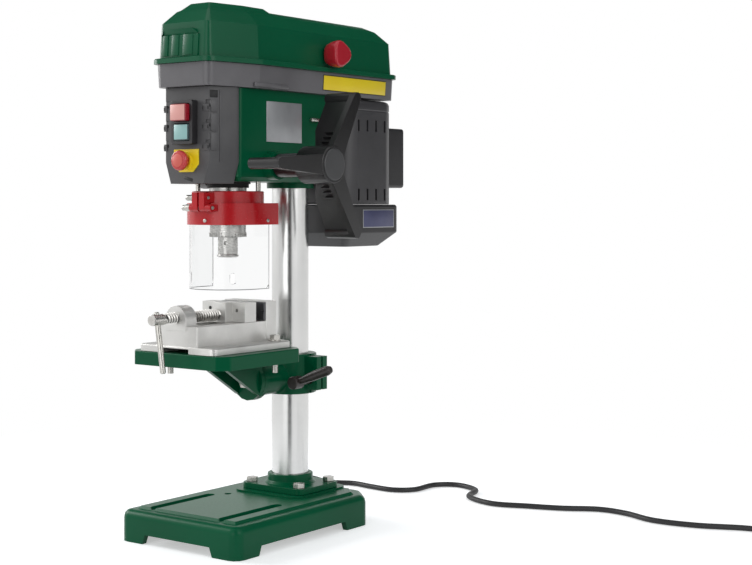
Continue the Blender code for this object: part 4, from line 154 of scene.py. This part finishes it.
floor.data.materials.append(pale)

world = bpy.data.worlds.new("white surround")
bpy.context.scene.world = world
world.use_nodes = True
tree = world.node_tree
tree.nodes.clear()
is_seen = seen_rays(tree)
dim = tree.nodes.new("ShaderNodeBackground")
dim.inputs["Color"].default_value = (0.9, 0.95, 1.0, 1)
dim.inputs["Strength"].default_value = 0.5
white = tree.nodes.new("ShaderNodeBackground")
white.inputs["Color"].default_value = (1, 1, 1, 1)
white.inputs["Strength"].default_value = 1.0
either = tree.nodes.new("ShaderNodeMixShader")
tree.links.new(is_seen, either.inputs["Fac"])
tree.links.new(dim.outputs[0], either.inputs[1])
tree.links.new(white.outputs[0], either.inputs[2])
surface_out = tree.nodes.new("ShaderNodeOutputWorld")
tree.links.new(either.outputs[0], surface_out.inputs["Surface"])

for name, place, size, power, mirrored in (
    ("left_soft_box", (-1.8, -0.5, 1.1), 1.0, 24, True),
    ("right_soft_box", (1.7, -0.5, 1.0), 1.0, 7, True),
    ("back_soft_box", (-0.4, 1.0, 2.0), 1.3, 9, False),
    ("front_fill", (0.4, -2.0, 0.6), 1.2, 7, True),
):
    bpy.ops.object.light_add(type="AREA", location=place)
    lamp = bpy.context.active_object
    lamp.name = name
    lamp.data.size = size
    lamp.data.energy = power
    lamp.visible_glossy = mirrored
    lamp.rotation_euler = (lamp_aim - Vector(place)).to_track_quat("-Z", "Y").to_euler()

dark = bpy.data.materials.new("dark card")
dark.use_nodes = True
shader = dark.node_tree.nodes["Principled BSDF"]
shader.inputs["Base Color"].default_value = (0.01, 0.01, 0.01, 1)
shader.inputs["Roughness"].default_value = 1.0
for name, place, width, height in (
    ("dark_card_front", (0.27, -0.38, 0.45), 0.2, 0.9),
    ("dark_card_back", (0.9, 1.25, 0.95), 1.5, 0.95),
    ("dark_card_above", (-0.5, 1.5, 2.1), 3.0, 1.9),
    ("dark_card_left", (-1.7, 0.5, 1.9), 1.8, 1.5),
):
    bpy.ops.mesh.primitive_plane_add(size=1, location=place)
    card = bpy.context.active_object
    card.name = name
    card.scale = (width, height, 1)
    aim = Vector((0, 0, min(place[2], highest_card_aim)))
    card.rotation_euler = (aim - Vector(place)).to_track_quat("Z", "Y").to_euler()
    card.visible_camera = False
    card.visible_diffuse = False
    card.visible_shadow = False
    card.visible_transmission = False
    card.data.materials.append(dark)


# Mains lead. Black rubber hose, 7 mm thick, that leaves the gland under the head, falls behind
# the column and runs over the floor to its plug. Its places are metres from the column's foot.
def finish(
    name, light, dark, rough, grain, relief, metal=0.0, coat=0.0, cloud=14.0, stretch=(1, 1, 1), sheen=0.5
):
    """A surface whose colour drifts between two near shades over a fine grain that moves its gloss."""
    made = bpy.data.materials.new(name)
    made.use_nodes = True
    tree = made.node_tree
    shader = tree.nodes["Principled BSDF"]
    shader.inputs["Metallic"].default_value = metal
    shader.inputs["Specular IOR Level"].default_value = sheen
    shader.inputs["Coat Weight"].default_value = coat
    shader.inputs["Coat Roughness"].default_value = 0.15
    place = tree.nodes.new("ShaderNodeTexCoord")
    clouds = tree.nodes.new("ShaderNodeTexNoise")
    clouds.inputs["Scale"].default_value = cloud
    clouds.inputs["Detail"].default_value = 5.0
    shades = tree.nodes.new("ShaderNodeValToRGB")
    shades.color_ramp.elements[0].position = 0.3
    shades.color_ramp.elements[0].color = tint(*dark)
    shades.color_ramp.elements[1].position = 0.7
    shades.color_ramp.elements[1].color = tint(*light)
    pull = tree.nodes.new("ShaderNodeMapping")
    pull.inputs["Scale"].default_value = stretch
    fine = tree.nodes.new("ShaderNodeTexNoise")
    fine.inputs["Scale"].default_value = grain
    fine.inputs["Detail"].default_value = 3.0
    gloss = tree.nodes.new("ShaderNodeMapRange")
    gloss.inputs["From Min"].default_value = 0.3
    gloss.inputs["From Max"].default_value = 0.7
    gloss.inputs["To Min"].default_value = rough[0]
    gloss.inputs["To Max"].default_value = rough[1]
    bump = tree.nodes.new("ShaderNodeBump")
    bump.inputs["Strength"].default_value = 1.0
    bump.inputs["Distance"].default_value = relief
    tree.links.new(place.outputs["Object"], clouds.inputs["Vector"])
    tree.links.new(clouds.outputs["Fac"], shades.inputs["Fac"])
    tree.links.new(shades.outputs["Color"], shader.inputs["Base Color"])
    tree.links.new(place.outputs["Object"], pull.inputs["Vector"])
    tree.links.new(pull.outputs["Vector"], fine.inputs["Vector"])
    tree.links.new(fine.outputs["Fac"], gloss.inputs["Value"])
    tree.links.new(gloss.outputs["Result"], shader.inputs["Roughness"])
    tree.links.new(fine.outputs["Fac"], bump.inputs["Height"])
    tree.links.new(bump.outputs["Normal"], shader.inputs["Normal"])
    return made


def tube(name, points, radius, roundness, material):
    """A round bar of even thickness along a line of places, closed at both ends."""
    line = bpy.data.curves.new(name, "CURVE")
    line.dimensions = "3D"
    line.bevel_depth = radius
    line.bevel_resolution = roundness
    line.use_fill_caps = True
    spline = line.splines.new("POLY")
    spline.points.add(len(points) - 1)
    for target, point in zip(spline.points, points):
        target.co = (*point, 1)
    made = bpy.data.objects.new(name, line)
    bpy.context.scene.collection.objects.link(made)
    made.data.materials.append(material)
    return made


lead_rubber = finish("lead rubber", (26, 26, 28), (17, 17, 18), (0.42, 0.6), 700, 0.00006)
lead_points = [
    (-0.0350, 0.0200, 0.3977),
    (-0.0350, 0.0200, 0.3650),
    (-0.0375, 0.0240, 0.3100),
    (-0.0430, 0.0325, 0.2400),
    (-0.0510, 0.0450, 0.1700),
    (-0.0610, 0.0610, 0.1050),
    (-0.0750, 0.0830, 0.0520),
    (-0.0920, 0.1100, 0.0180),
    (-0.1130, 0.1430, 0.0050),
    (-0.1657, 0.1518, 0.0036),
    (-0.1817, 0.1949, 0.0036),
    (-0.1506, 0.2233, 0.0036),
    (-0.1072, 0.2130, 0.0036),
    (-0.0741, 0.2263, 0.0036),
    (-0.0382, 0.2222, 0.0036),
    (-0.0004, 0.2211, 0.0036),
    (0.0227, 0.2413, 0.0036),
    (0.0257, 0.2841, 0.0036),
    (0.0531, 0.3033, 0.0036),
    (0.0931, 0.2864, 0.0036),
    (0.1093, 0.2443, 0.0036),
    (0.1577, 0.2233, 0.0036),
    (0.2050, 0.2370, 0.0036),
    (0.2480, 0.2520, 0.0036),
    (0.2890, 0.2740, 0.0036),
    (0.3290, 0.2720, 0.0036),
    (0.3750, 0.2550, 0.0036),
    (0.4300, 0.2600, 0.0036),
    (0.4900, 0.2820, 0.0036),
    (0.5450, 0.2800, 0.0036),
    (0.5850, 0.2480, 0.0036),
    (0.6020, 0.2000, 0.0036),
    (0.6080, 0.1500, 0.0036),
    (0.6150, 0.1150, 0.0070),
    (0.6240, 0.0800, 0.0130),
    (0.6330, 0.0500, 0.0150),
    (0.6390, 0.0300, 0.0150),
]
lead_points = [Vector(point) + column_foot for point in lead_points]
between = 12
smooth_points = []
for k in range(len(lead_points) - 1):
    before = lead_points[max(k - 1, 0)]
    here, ahead = lead_points[k], lead_points[k + 1]
    after = lead_points[min(k + 2, len(lead_points) - 1)]
    for step in range(between):
        t = step / between
        bend = (before * 2 - here * 5 + ahead * 4 - after) * t**2
        swing = (after - ahead * 3 + here * 3 - before) * t**3
        smooth_points.append((here * 2 + (ahead - before) * t + bend + swing) / 2)
smooth_points.append(lead_points[-1])
lead_radius = 0.0035
lead = tube("mains_lead", smooth_points, lead_radius, 4, lead_rubber)
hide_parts("power_cord")
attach(lead, "stand")


# Gland and plug of the lead. Moulded rubber: the gland is screwed up into the head's underside and
# narrows towards the lead, and the plug has two round brass pins.
def pick(thing):
    """Only this object is selected, and it is the active one."""
    if bpy.context.mode != "OBJECT":
        bpy.ops.object.mode_set(mode="OBJECT")
    bpy.ops.object.select_all(action="DESELECT")
    thing.hide_set(False)
    thing.select_set(True)
    bpy.context.view_layer.objects.active = thing


def dress(node, body, material, ease, sharp=34, soft=42, joined=True):
    """A copy of a solid with its loose faces joined and its sharp edges eased, which stands for it."""
    pick(frame["nodes"][node])
    bpy.ops.object.duplicate()
    copy = bpy.context.active_object
    copy.name = node + "_piece"
    del copy["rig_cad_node"]
    bpy.ops.object.mode_set(mode="EDIT")
    bpy.ops.mesh.select_all(action="SELECT")
    bpy.ops.mesh.remove_doubles(threshold=0.00003)
    if joined:
        bpy.ops.mesh.dissolve_limited(angle_limit=math.radians(0.6))
    bpy.ops.object.mode_set(mode="OBJECT")
    if ease:
        edge = copy.modifiers.new("eased edges", "BEVEL")
        edge.width = ease
        edge.segments = 2
        edge.angle_limit = math.radians(sharp)
        edge.miter_outer = "MITER_ARC"
        bpy.ops.object.modifier_apply(modifier=edge.name)
    bpy.ops.object.shade_smooth_by_angle(angle=math.radians(soft))
    even = copy.modifiers.new("flat faces stay flat", "WEIGHTED_NORMAL")
    even.keep_sharp = True
    bpy.ops.object.modifier_apply(modifier=even.name)
    copy.data.materials.clear()
    copy.data.materials.append(material)
    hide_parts(node)
    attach(copy, body)
    return copy


gland = dress("cord_gland", "stand", lead_rubber, 0.0004)
plug = dress("mains_plug", "stand", lead_rubber, 0.0006)

# Base plate and the flange of the column. Grey iron castings under a glossy dark green enamel,
# held together by four plated hexagon bolts.
cast_enamel = finish(
    "green enamel on cast iron", (0, 88, 56), (0, 78, 49), (0.28, 0.32), 300, 0.000001, cloud=5,
    sheen=0.14,
)
plated_steel = finish(
    "plated steel", (196, 194, 188), (168, 167, 163), (0.22, 0.38), 600, 0.00003, metal=0.9, cloud=60
)
dress("base", "stand", cast_enamel, 0.0012)
dress("column_flange", "stand", cast_enamel, 0.0009)
for number in range(1, 5):
    dress(f"flange_bolt_{number}", "stand", plated_steel, 0.0004)

# Column. A steel tube of 46 mm, ground bright, whose gloss changes a little along its height
# as the grinding wheel leaves it.
ground_steel = finish(
    "ground steel", (222, 222, 221), (206, 206, 205), (0.2, 0.27), 300, 0.000001, metal=0.95, cloud=5,
    stretch=(0.05, 0.05, 1),
)
dress("column", "stand", ground_steel, 0.0003)

# Table bracket with its clamp lever and tilt bolt. Enamelled castings that slide on the column;
# the lever is black plastic on a steel stud.
lever_black = finish("lever black", (44, 38, 36), (32, 28, 27), (0.36, 0.5), 520, 0.00008, cloud=30)
dress("table_bracket", "table_carrier", cast_enamel, 0.001)
dress("tilt_bolt", "table_carrier", plated_steel, 0.0005)
dress("table_clamp_lever", "clamp_lever", lever_black, 0.0008)

# Table. A ribbed iron casting with slots for bolts and a hole for the drill, enamelled all over
# like the base.
dress("table", "table_top", cast_enamel, 0.001)

# Machine vise. A light iron casting left bare, milled on top, with a guided jaw, a jaw plate of
# dark hardened steel, a threaded screw and a sliding bar to turn it.
screw_height = 266.5
thread_pitch = 0.004
thread_turns = 22
thread_steps = 20
ridge_size = 0.0011
ridge_radius = 0.0059
root_radius = 0.0052
bare_casting = finish(
    "bare casting", (222, 221, 218), (200, 199, 196), (0.34, 0.5), 650, 0.00012, metal=0.75, cloud=26
)
jaw_steel = finish(
    "hardened jaw", (96, 96, 98), (70, 70, 73), (0.3, 0.45), 800, 0.00004, metal=0.85, cloud=40
)
screw_steel = finish(
    "screw steel", (222, 220, 216), (190, 188, 184), (0.24, 0.36), 700, 0.00003, metal=0.92, cloud=70
)
# Dark colour for the root of the vise thread: painted shade in the valleys between the thread's ridges.
thread_shade = finish(
    "oiled thread root", (52, 51, 50), (40, 39, 38), (0.4, 0.5), 400, 0.000004, metal=0.4
)
# Flat black: the printed border round the yellow strip, and painted shade for a hole, a slot, a recess and clip
# holes drawn as black patches.
black_print_and_hole_shade = finish("deep black", (14, 14, 15), (9, 9, 10), (0.5, 0.7), 500, 0.00004)
dress("vise_body", "table_top", bare_casting, 0.0008)
dress("fixed_jaw_plate", "table_top", jaw_steel, 0.0003)
dress("vise_bolt_1", "table_top", plated_steel, 0.0004)
dress("vise_bolt_2", "table_top", plated_steel, 0.0004)
dress("moving_jaw", "vise_slide", bare_casting, 0.0008)
dress("vise_screw", "screw", screw_steel, 0.0004)
dress("tommy_bar", "bar", plated_steel, 0.0004)

bpy.ops.mesh.primitive_circle_add(
    vertices=3,
    radius=ridge_size,
    location=(ridge_radius, 0, 0),
    rotation=(math.radians(90), math.radians(90), 0),
)
thread = bpy.context.active_object
thread.name = "vise_thread"
bpy.ops.object.transform_apply(location=True, rotation=True, scale=True)
winding = thread.modifiers.new("winding", "SCREW")
winding.angle = math.radians(360)
winding.screw_offset = thread_pitch
winding.iterations = thread_turns
winding.steps = thread_steps
winding.render_steps = thread_steps
winding.use_merge_vertices = False
bpy.ops.object.modifier_apply(modifier=winding.name)
bpy.ops.object.mode_set(mode="EDIT")
bpy.ops.mesh.select_all(action="SELECT")
bpy.ops.mesh.remove_doubles(threshold=0.000001)
bpy.ops.mesh.select_all(action="DESELECT")
bpy.ops.mesh.select_non_manifold()
bpy.ops.mesh.fill()
bpy.ops.mesh.select_all(action="SELECT")
bpy.ops.mesh.normals_make_consistent(inside=False)
bpy.ops.object.mode_set(mode="OBJECT")
bpy.ops.object.shade_smooth_by_angle(angle=math.radians(30))
thread.location = at(0, -136, screw_height)
thread.rotation_euler = (math.radians(90), 0, 0)
bpy.ops.object.transform_apply(location=True, rotation=True, scale=True)
thread.data.materials.append(screw_steel)
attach(thread, "screw")


def fit(made, ease, steps, material, body):
    """The new piece stands where it was put, with its edges eased, and gets its material and body."""
    bpy.ops.object.transform_apply(location=True, rotation=True, scale=True)
    bpy.ops.object.mode_set(mode="EDIT")
    bpy.ops.mesh.select_all(action="SELECT")
    bpy.ops.mesh.bevel(offset=ease, segments=steps, affect="EDGES")
    bpy.ops.object.mode_set(mode="OBJECT")
    bpy.ops.object.shade_smooth_by_angle(angle=math.radians(40))
    made.data.materials.append(material)
    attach(made, body)


def round_piece(name, place, radius, depth, turn, ease, material, body, sides=24, steps=2):
    """A cylinder turned about x and y by so many degrees, with both rims eased."""
    bpy.ops.mesh.primitive_cylinder_add(
        vertices=sides,
        radius=radius,
        depth=depth,
        location=place,
        rotation=(math.radians(turn[0]), math.radians(turn[1]), 0),
    )
    made = bpy.context.active_object
    made.name = name
    fit(made, ease, steps, material, body)


thread_length = thread_pitch * thread_turns
# A dark core under the thread's ridges: painted shade in the thread's valleys.
round_piece(
    "thread_root", at(0, -180, screw_height), root_radius, thread_length, (90, 0), 0.0003,
    thread_shade, "screw", sides=32, steps=1,
)
# A flat black disc on the jaw's front: painted shade of a hole that is not cut.
round_piece(
    "jaw_hole", at(-10, -135.9, 274.5), 0.0022, 0.001, (90, 0), 0.0002, black_print_and_hole_shade, "vise_slide",
    steps=1,
)
round_piece(
    "jaw_plate_screw", at(27, -89.9, 269), 0.0026, 0.001, (90, 0), 0.0002, jaw_steel, "table_top",
    steps=1,
)

# Head. The main casting that clamps on the column, enamelled like the base, with a blank silver
# plate and a small pin on its right side.
dress("head_casting", "stand", cast_enamel, 0.0012)


def slab(name, low, high, ease, material, body, turn=(0, 0, 0)):
    """A thin plate or bar between two corners, turned about its middle, with all its edges eased."""
    middle = [(a + b) / 2 for a, b in zip(low, high)]
    extent = [b - a for a, b in zip(low, high)]
    bpy.ops.mesh.primitive_cube_add(size=1, location=middle, scale=extent)
    made = bpy.context.active_object
    made.name = name
    made.rotation_euler = [math.radians(angle) for angle in turn]
    fit(made, ease, 2, material, body)


silver_foil = finish(
    "silver foil", (176, 177, 179), (150, 151, 153), (0.34, 0.46), 300, 0.00001, metal=0.5, cloud=20
)
slab(
    "blank_plate", at(45.9, -99.5, 471.3), at(46.6, -34, 519.4), 0.00018, silver_foil, "stand",
)
round_piece(
    "roll_pin", at(49, -11, 500.8), 0.0022, 0.016, (90, 0), 0.0004, plated_steel, "stand",
)
slab(
    "roll_pin_seat", at(45.8, -14, 498.6), at(47.2, -8, 503), 0.0003, cast_enamel, "stand",
)

# Front panel. Dark grey moulded plastic that hooks over the head, with raised fields and clips
# along both edges. Its window recess, its oval finger slot and the holes in its clips are flat black patches of
# painted shade.
panel_plastic = finish(
    "panel plastic", (84, 83, 84), (72, 71, 72), (0.36, 0.48), 900, 0.00006, cloud=20, sheen=0.4
)
dress("front_panel", "stand", panel_plastic, 0.0009)
# A flat black patch: painted shade of the finger slot.
slab(
    "panel_slot", at(-5, -186.4, 424.6), at(9, -185.4, 428.4), 0.0004, black_print_and_hole_shade, "stand",
    turn=(0, 14, 0),
)
corner_lean = -23
for number, (bottom, top) in enumerate(((459, 479), (481, 501), (503, 516.5)), 1):
    slab(
        f"panel_field_{number}", at(36.4, -185, bottom), at(38, -176.6, top), 0.0003, panel_plastic, "stand",
        turn=(0, 0, corner_lean),
    )
# A flat black patch: painted shade of the recess near the top.
slab(
    "panel_window", at(36, -185.4, 519.5), at(37.3, -175.6, 528), 0.0004, black_print_and_hole_shade, "stand",
    turn=(0, 0, corner_lean),
)
slab(
    "panel_rib", at(39.3, -174.4, 446), at(40.9, -172.4, 528), 0.0006, panel_plastic, "stand",
    turn=(0, 0, corner_lean),
)
for number, height in enumerate((463, 486, 508), 1):
    slab(
        f"right_clip_{number}", at(24.5, -187, height - 4), at(34.6, -185.6, height + 4), 0.0004, panel_plastic,
        "stand",
    )
    slab(
        f"left_clip_{number}", at(-36.4, -187, height - 4), at(-31.4, -183.5, height + 4), 0.0004, panel_plastic,
        "stand",
    )
    # Flat black patches: painted shade of the holes in the clips.
    for side, out in (("left", 25.6), ("right", 33.6), ("far", -35.6)):
        slab(
            f"clip_hole_{side}_{number}", at(out - 0.8, -187.2, height - 2), at(out + 0.8, -186.6, height + 2),
            0.0002, black_print_and_hole_shade, "stand",
        )

# Switch block. A black frame with a red stop rocker above a dark green start rocker, each with a pale front face
# that is a painted highlight,
# and below it the emergency stop: a red mushroom with a lighter front disc of painted highlight, on a blank
# yellow plate.
frame_black = finish("frame black", (40, 39, 41), (30, 29, 31), (0.38, 0.5), 800, 0.00006, cloud=30)
stop_red = finish("stop rocker", (168, 26, 44), (148, 18, 36), (0.25, 0.35), 500, 0.00002, coat=0.2)
# Pale front faces of the rockers: painted highlight of their glossy fronts, over the rockers' own red and green.
stop_face = finish(
    "stop rocker face", (236, 176, 166), (226, 158, 150), (0.3, 0.4), 500, 0.00002, coat=0.1
)
start_green = finish("start rocker", (44, 70, 72), (34, 58, 60), (0.25, 0.35), 500, 0.00002, coat=0.2)
start_face = finish(
    "start rocker face", (160, 202, 198), (146, 190, 186), (0.3, 0.4), 500, 0.00002, coat=0.1
)
plate_yellow = finish(
    "plate yellow", (246, 218, 24), (236, 204, 16), (0.35, 0.45), 400, 0.00002, coat=0.15
)
button_red = finish("button red", (206, 52, 50), (190, 40, 42), (0.24, 0.34), 500, 0.00002, coat=0.3)
# Lighter front disc of the mushroom: painted highlight of its lit front.
button_face_highlight = finish("button face", (222, 104, 90), (212, 92, 80), (0.34, 0.44), 500, 0.00002)
dress("switch_frame", "stand", frame_black, 0.0006)
dress("stop_button", "stop", stop_red, 0.0005)
slab(
    "stop_face", at(-11.2, -202.6, 493.9), at(11.2, -201.9, 511.6), 0.0003, stop_face, "stop",
)
dress("start_button", "start", start_green, 0.0005)
slab(
    "start_face", at(-10.4, -197.2, 471.8), at(10.4, -196.5, 488.8), 0.0003, start_face, "start",
)
dress("estop_plate", "stand", plate_yellow, 0.0003)
dress("estop_button", "emergency_stop", button_red, 0.0007)
round_piece(
    "estop_face", at(0, -202.1, 447.5), 0.0078, 0.001, (90, 0), 0.0003, button_face_highlight,
    "emergency_stop", sides=40,
)

# Motor. A sheet steel can in satin black on a slotted mount, with a plastic bell under it, a box
# for the capacitor behind and a blank bluish plate on the bell.
motor_black = finish("motor black", (58, 57, 59), (46, 45, 47), (0.34, 0.46), 700, 0.00006, cloud=18)
bell_black = finish("bell black", (36, 35, 37), (26, 25, 27), (0.34, 0.46), 700, 0.00006, cloud=18)
plate_blue = finish(
    "plate blue", (78, 80, 112), (66, 68, 98), (0.34, 0.46), 300, 0.00001, metal=0.2, cloud=24
)
dress("motor_can", "motor", motor_black, 0.0009, joined=False)
dress("motor_mount", "motor", motor_black, 0.0006)
dress("motor_bell", "motor", bell_black, 0.0012)
dress("capacitor_box", "motor", bell_black, 0.0012)
slab(
    "motor_plate_rim", at(55.9, 77.5, 366.8), at(56.4, 144.6, 390.2), 0.00012, silver_foil, "motor",
)
slab(
    "motor_blank_plate", at(56.2, 78.6, 367.9), at(56.6, 143.5, 389.1), 0.00012, plate_blue, "motor",
)

# Belt drive. Two cast step pulleys and a black rubber belt on the middle step, inside the
# housing, which the open cover shows.
pulley_metal = finish("pulley metal", (172, 172, 174), (150, 150, 152), (0.3, 0.45), 500, 0.00008, metal=0.85)
belt_rubber = finish("belt rubber", (24, 24, 25), (16, 16, 17), (0.55, 0.75), 800, 0.0001)
dress("spindle_pulley", "spindle_drive", pulley_metal, 0.0004)
dress("motor_pulley", "rotor", pulley_metal, 0.0004)
dress("drive_belt", "stand", belt_rubber, 0.0003)

# Belt housing. The grey moulded tray on top of the head, with a small shelf and a blank yellow
# strip on its right side.
housing_plastic = finish(
    "housing plastic", (108, 106, 108), (94, 92, 94), (0.3, 0.42), 900, 0.00005, cloud=16, sheen=0.4
)
dress("belt_housing", "stand", housing_plastic, 0.001)
wall_lean = 3.18
slab(
    "strip_rim", at(55.0, -3.4, 537.6), at(55.6, 127.4, 557), 0.00012, black_print_and_hole_shade, "stand",
    turn=(0, wall_lean, 0),
)
slab(
    "blank_strip", at(55.3, -2.4, 538.6), at(55.9, 126.4, 556), 0.00012, plate_yellow, "stand",
    turn=(0, wall_lean, 0),
)
slab(
    "housing_shelf", at(54, -131, 534.2), at(56.4, -70, 539.4), 0.0008, housing_plastic, "stand",
    turn=(0, wall_lean, 0),
)

# Belt cover. A green lid of painted sheet that opens to the left on a pin, with raised arches on
# its front wall and a red knob on the right.
lid_enamel = finish(
    "lid enamel", (0, 90, 58), (0, 80, 51), (0.3, 0.34), 400, 0.000002, cloud=5, sheen=0.24
)
dress("belt_cover", "cover", lid_enamel, 0.0014)
front_lean = -3.5
pad_corner = 0.007
pad_thickness = 0.0026
bpy.ops.mesh.primitive_cube_add(size=1, location=at(-4, -193.0, 583), scale=(0.058, pad_thickness, 0.032))
arch_pad = bpy.context.active_object
arch_pad.name = "arch_pad"
bpy.ops.object.transform_apply(location=False, rotation=False, scale=True)
bpy.ops.object.mode_set(mode="EDIT")
bpy.ops.mesh.select_all(action="DESELECT")
bpy.ops.object.mode_set(mode="OBJECT")
for edge in arch_pad.data.edges:
    ends = [arch_pad.data.vertices[k].co for k in edge.vertices]
    edge.select = all(end.z > 0 for end in ends) and abs(ends[0].y - ends[1].y) > pad_thickness / 2
bpy.ops.object.mode_set(mode="EDIT")
bpy.ops.mesh.select_mode(type="EDGE")
bpy.ops.mesh.bevel(offset=pad_corner, segments=1, affect="EDGES")
bpy.ops.mesh.select_all(action="SELECT")
bpy.ops.mesh.bevel(offset=0.0002, segments=2, affect="EDGES")
bpy.ops.object.mode_set(mode="OBJECT")
arch_pad.rotation_euler = (math.radians(front_lean), 0, 0)
bpy.ops.object.transform_apply(location=True, rotation=True, scale=True)
bpy.ops.object.shade_smooth_by_angle(angle=math.radians(40))
arch_pad.data.materials.append(lid_enamel)
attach(arch_pad, "cover")
for number, (left, right) in enumerate(((-30, -22), (-16, -5), (2, 17)), 1):
    slab(
        f"arch_bar_{number}", at(left, -195.3, 568.6), at(right, -193.4, 592.6), 0.00015, lid_enamel, "cover",
        turn=(front_lean, 0, 0),
    )
dress("cover_hinge_pin", "stand", plated_steel, 0.0002)
knob_red = finish("knob red", (190, 24, 44), (168, 16, 34), (0.28, 0.4), 600, 0.00004, coat=0.3)
dress("cover_knob", "cover_grip", knob_red, 0.001)
dress("tension_knob", "tension_grip", knob_red, 0.0008)

# Quill, spindle and chuck. Ground and turned steel: the quill slides out of the nose of the head,
# with a black wiper ring above, and the chuck has a toothed sleeve and three round jaws.
turned_steel = finish(
    "turned steel", (188, 187, 184), (160, 159, 157), (0.24, 0.34), 900, 0.000002, metal=0.92, cloud=40,
    stretch=(0.05, 0.05, 1),
)
dress("quill_nose", "stand", turned_steel, 0.0003)
dress("quill_seal_ring", "stand", belt_rubber, 0.0004)
dress("quill", "quill_slide_body", turned_steel, 0.0003)
dress("spindle", "spindle_body", turned_steel, 0.0003)
dress("chuck_body", "spindle_body", turned_steel, 0.0005)
dress("chuck_sleeve", "chuck_ring", turned_steel, 0.0005)
for number, body in ((1, "jaw_a"), (2, "jaw_b"), (3, "jaw_c")):
    dress(f"chuck_jaw_{number}", body, turned_steel, 0.0003)
spindle_y = -116
tooth_count = 36
tooth_circle = 21.3
teeth = []
for number in range(tooth_count):
    angle = math.radians(360) * number / tooth_count
    bpy.ops.mesh.primitive_cube_add(
        size=1,
        location=at(tooth_circle * math.cos(angle), spindle_y + tooth_circle * math.sin(angle), 361),
        rotation=(0, 0, angle),
        scale=(0.0018, 0.0018, 0.005),
    )
    teeth.append(bpy.context.active_object)
for tooth in teeth:
    tooth.select_set(True)
bpy.ops.object.join()
tooth_ring = bpy.context.active_object
tooth_ring.name = "sleeve_teeth"
bpy.ops.object.transform_apply(location=True, rotation=True, scale=True)
tooth_ring.data.materials.append(turned_steel)
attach(tooth_ring, "chuck_ring")

# Feed. A steel pinion shaft with a three-armed handle of dark plastic, a grey cap on its hub and
# the housing of the return spring on the other side of the head.
handle_black = finish("handle black", (28, 27, 28), (18, 17, 18), (0.28, 0.33), 400, 0.000001, cloud=24)
cap_grey = finish("cap grey", (66, 66, 67), (54, 54, 55), (0.3, 0.4), 700, 0.00004, cloud=24)
dress("feed_shaft", "feed", turned_steel, 0.0003)
dress("feed_handle", "feed", handle_black, 0.0007)
dress("hub_cap", "feed", cap_grey, 0.0006)
dress("spring_housing", "stand", motor_black, 0.0008)

# Chuck guard. A clear plastic screen in a red band that hangs on a red collar round the nose and
# swings up on a pin; screws, rods and rivets are bright steel.
guard_red = finish(
    "guard red", (196, 26, 34), (178, 18, 26), (0.24, 0.28), 400, 0.000002, coat=0.1, sheen=0.35
)
dress("guard_collar", "stand", guard_red, 0.0006)
dress("guard_band", "guard", guard_red, 0.0005)
dress("collar_screw", "stand", plated_steel, 0.0004)
dress("guard_pivot_pin", "stand", plated_steel, 0.0003)
dress("guide_rod_left", "stand", plated_steel, 0.0003)
dress("guide_rod_right", "stand", plated_steel, 0.0003)
clear_sheet = bpy.data.materials.new("clear sheet")
clear_sheet.use_nodes = True
tree = clear_sheet.node_tree
shader = tree.nodes["Principled BSDF"]
shader.inputs["Base Color"].default_value = (0.95, 0.955, 0.955, 1)
shader.inputs["Transmission Weight"].default_value = 1.0
shader.inputs["IOR"].default_value = 1.22
place = tree.nodes.new("ShaderNodeTexCoord")
haze = tree.nodes.new("ShaderNodeTexNoise")
haze.inputs["Scale"].default_value = 60
gloss = tree.nodes.new("ShaderNodeMapRange")
gloss.inputs["To Min"].default_value = 0.02
gloss.inputs["To Max"].default_value = 0.1
tree.links.new(place.outputs["Object"], haze.inputs["Vector"])
tree.links.new(haze.outputs["Fac"], gloss.inputs["Value"])
tree.links.new(gloss.outputs["Result"], shader.inputs["Roughness"])
dress("chuck_guard", "guard", clear_sheet, 0)
edge_grey = finish("cut edge of the sheet", (104, 106, 108), (90, 92, 94), (0.3, 0.4), 300, 0.000005)
screen_half = 45.2
screen_back = -94
screen_top = 390
screen_bottom = 297.4
arc_steps = 24
edge_places = [(screen_half, screen_back, screen_top), (screen_half, screen_back, screen_bottom)]
for step in range(arc_steps + 1):
    angle = math.radians(180) * step / arc_steps
    out = screen_half * math.sin(angle)
    edge_places.append((screen_half * math.cos(angle), spindle_y - out, screen_bottom))
edge_places += [(-screen_half, screen_back, screen_bottom), (-screen_half, screen_back, screen_top)]
edge_radius = 0.00045
screen_edge = tube("screen_edge", [at(*place) for place in edge_places], edge_radius, 2, edge_grey)
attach(screen_edge, "guard")
for name, place, radius, depth, turn, body in (
    ("band_rivet_left", at(8, -163.6, 378), 0.0022, 0.004, (90, 0), "guard"),
    ("band_rivet_right", at(48.2, -100, 378), 0.0022, 0.003, (0, 90), "guard"),
    ("collar_knob_upper", at(-14, -167, 404.8), 0.0034, 0.008, (0, 90), "stand"),
    ("collar_knob_lower", at(-18, -169.5, 393), 0.0034, 0.008, (0, 90), "stand"),
):
    round_piece(name, place, radius, depth, turn, 0.0005, plated_steel, body)
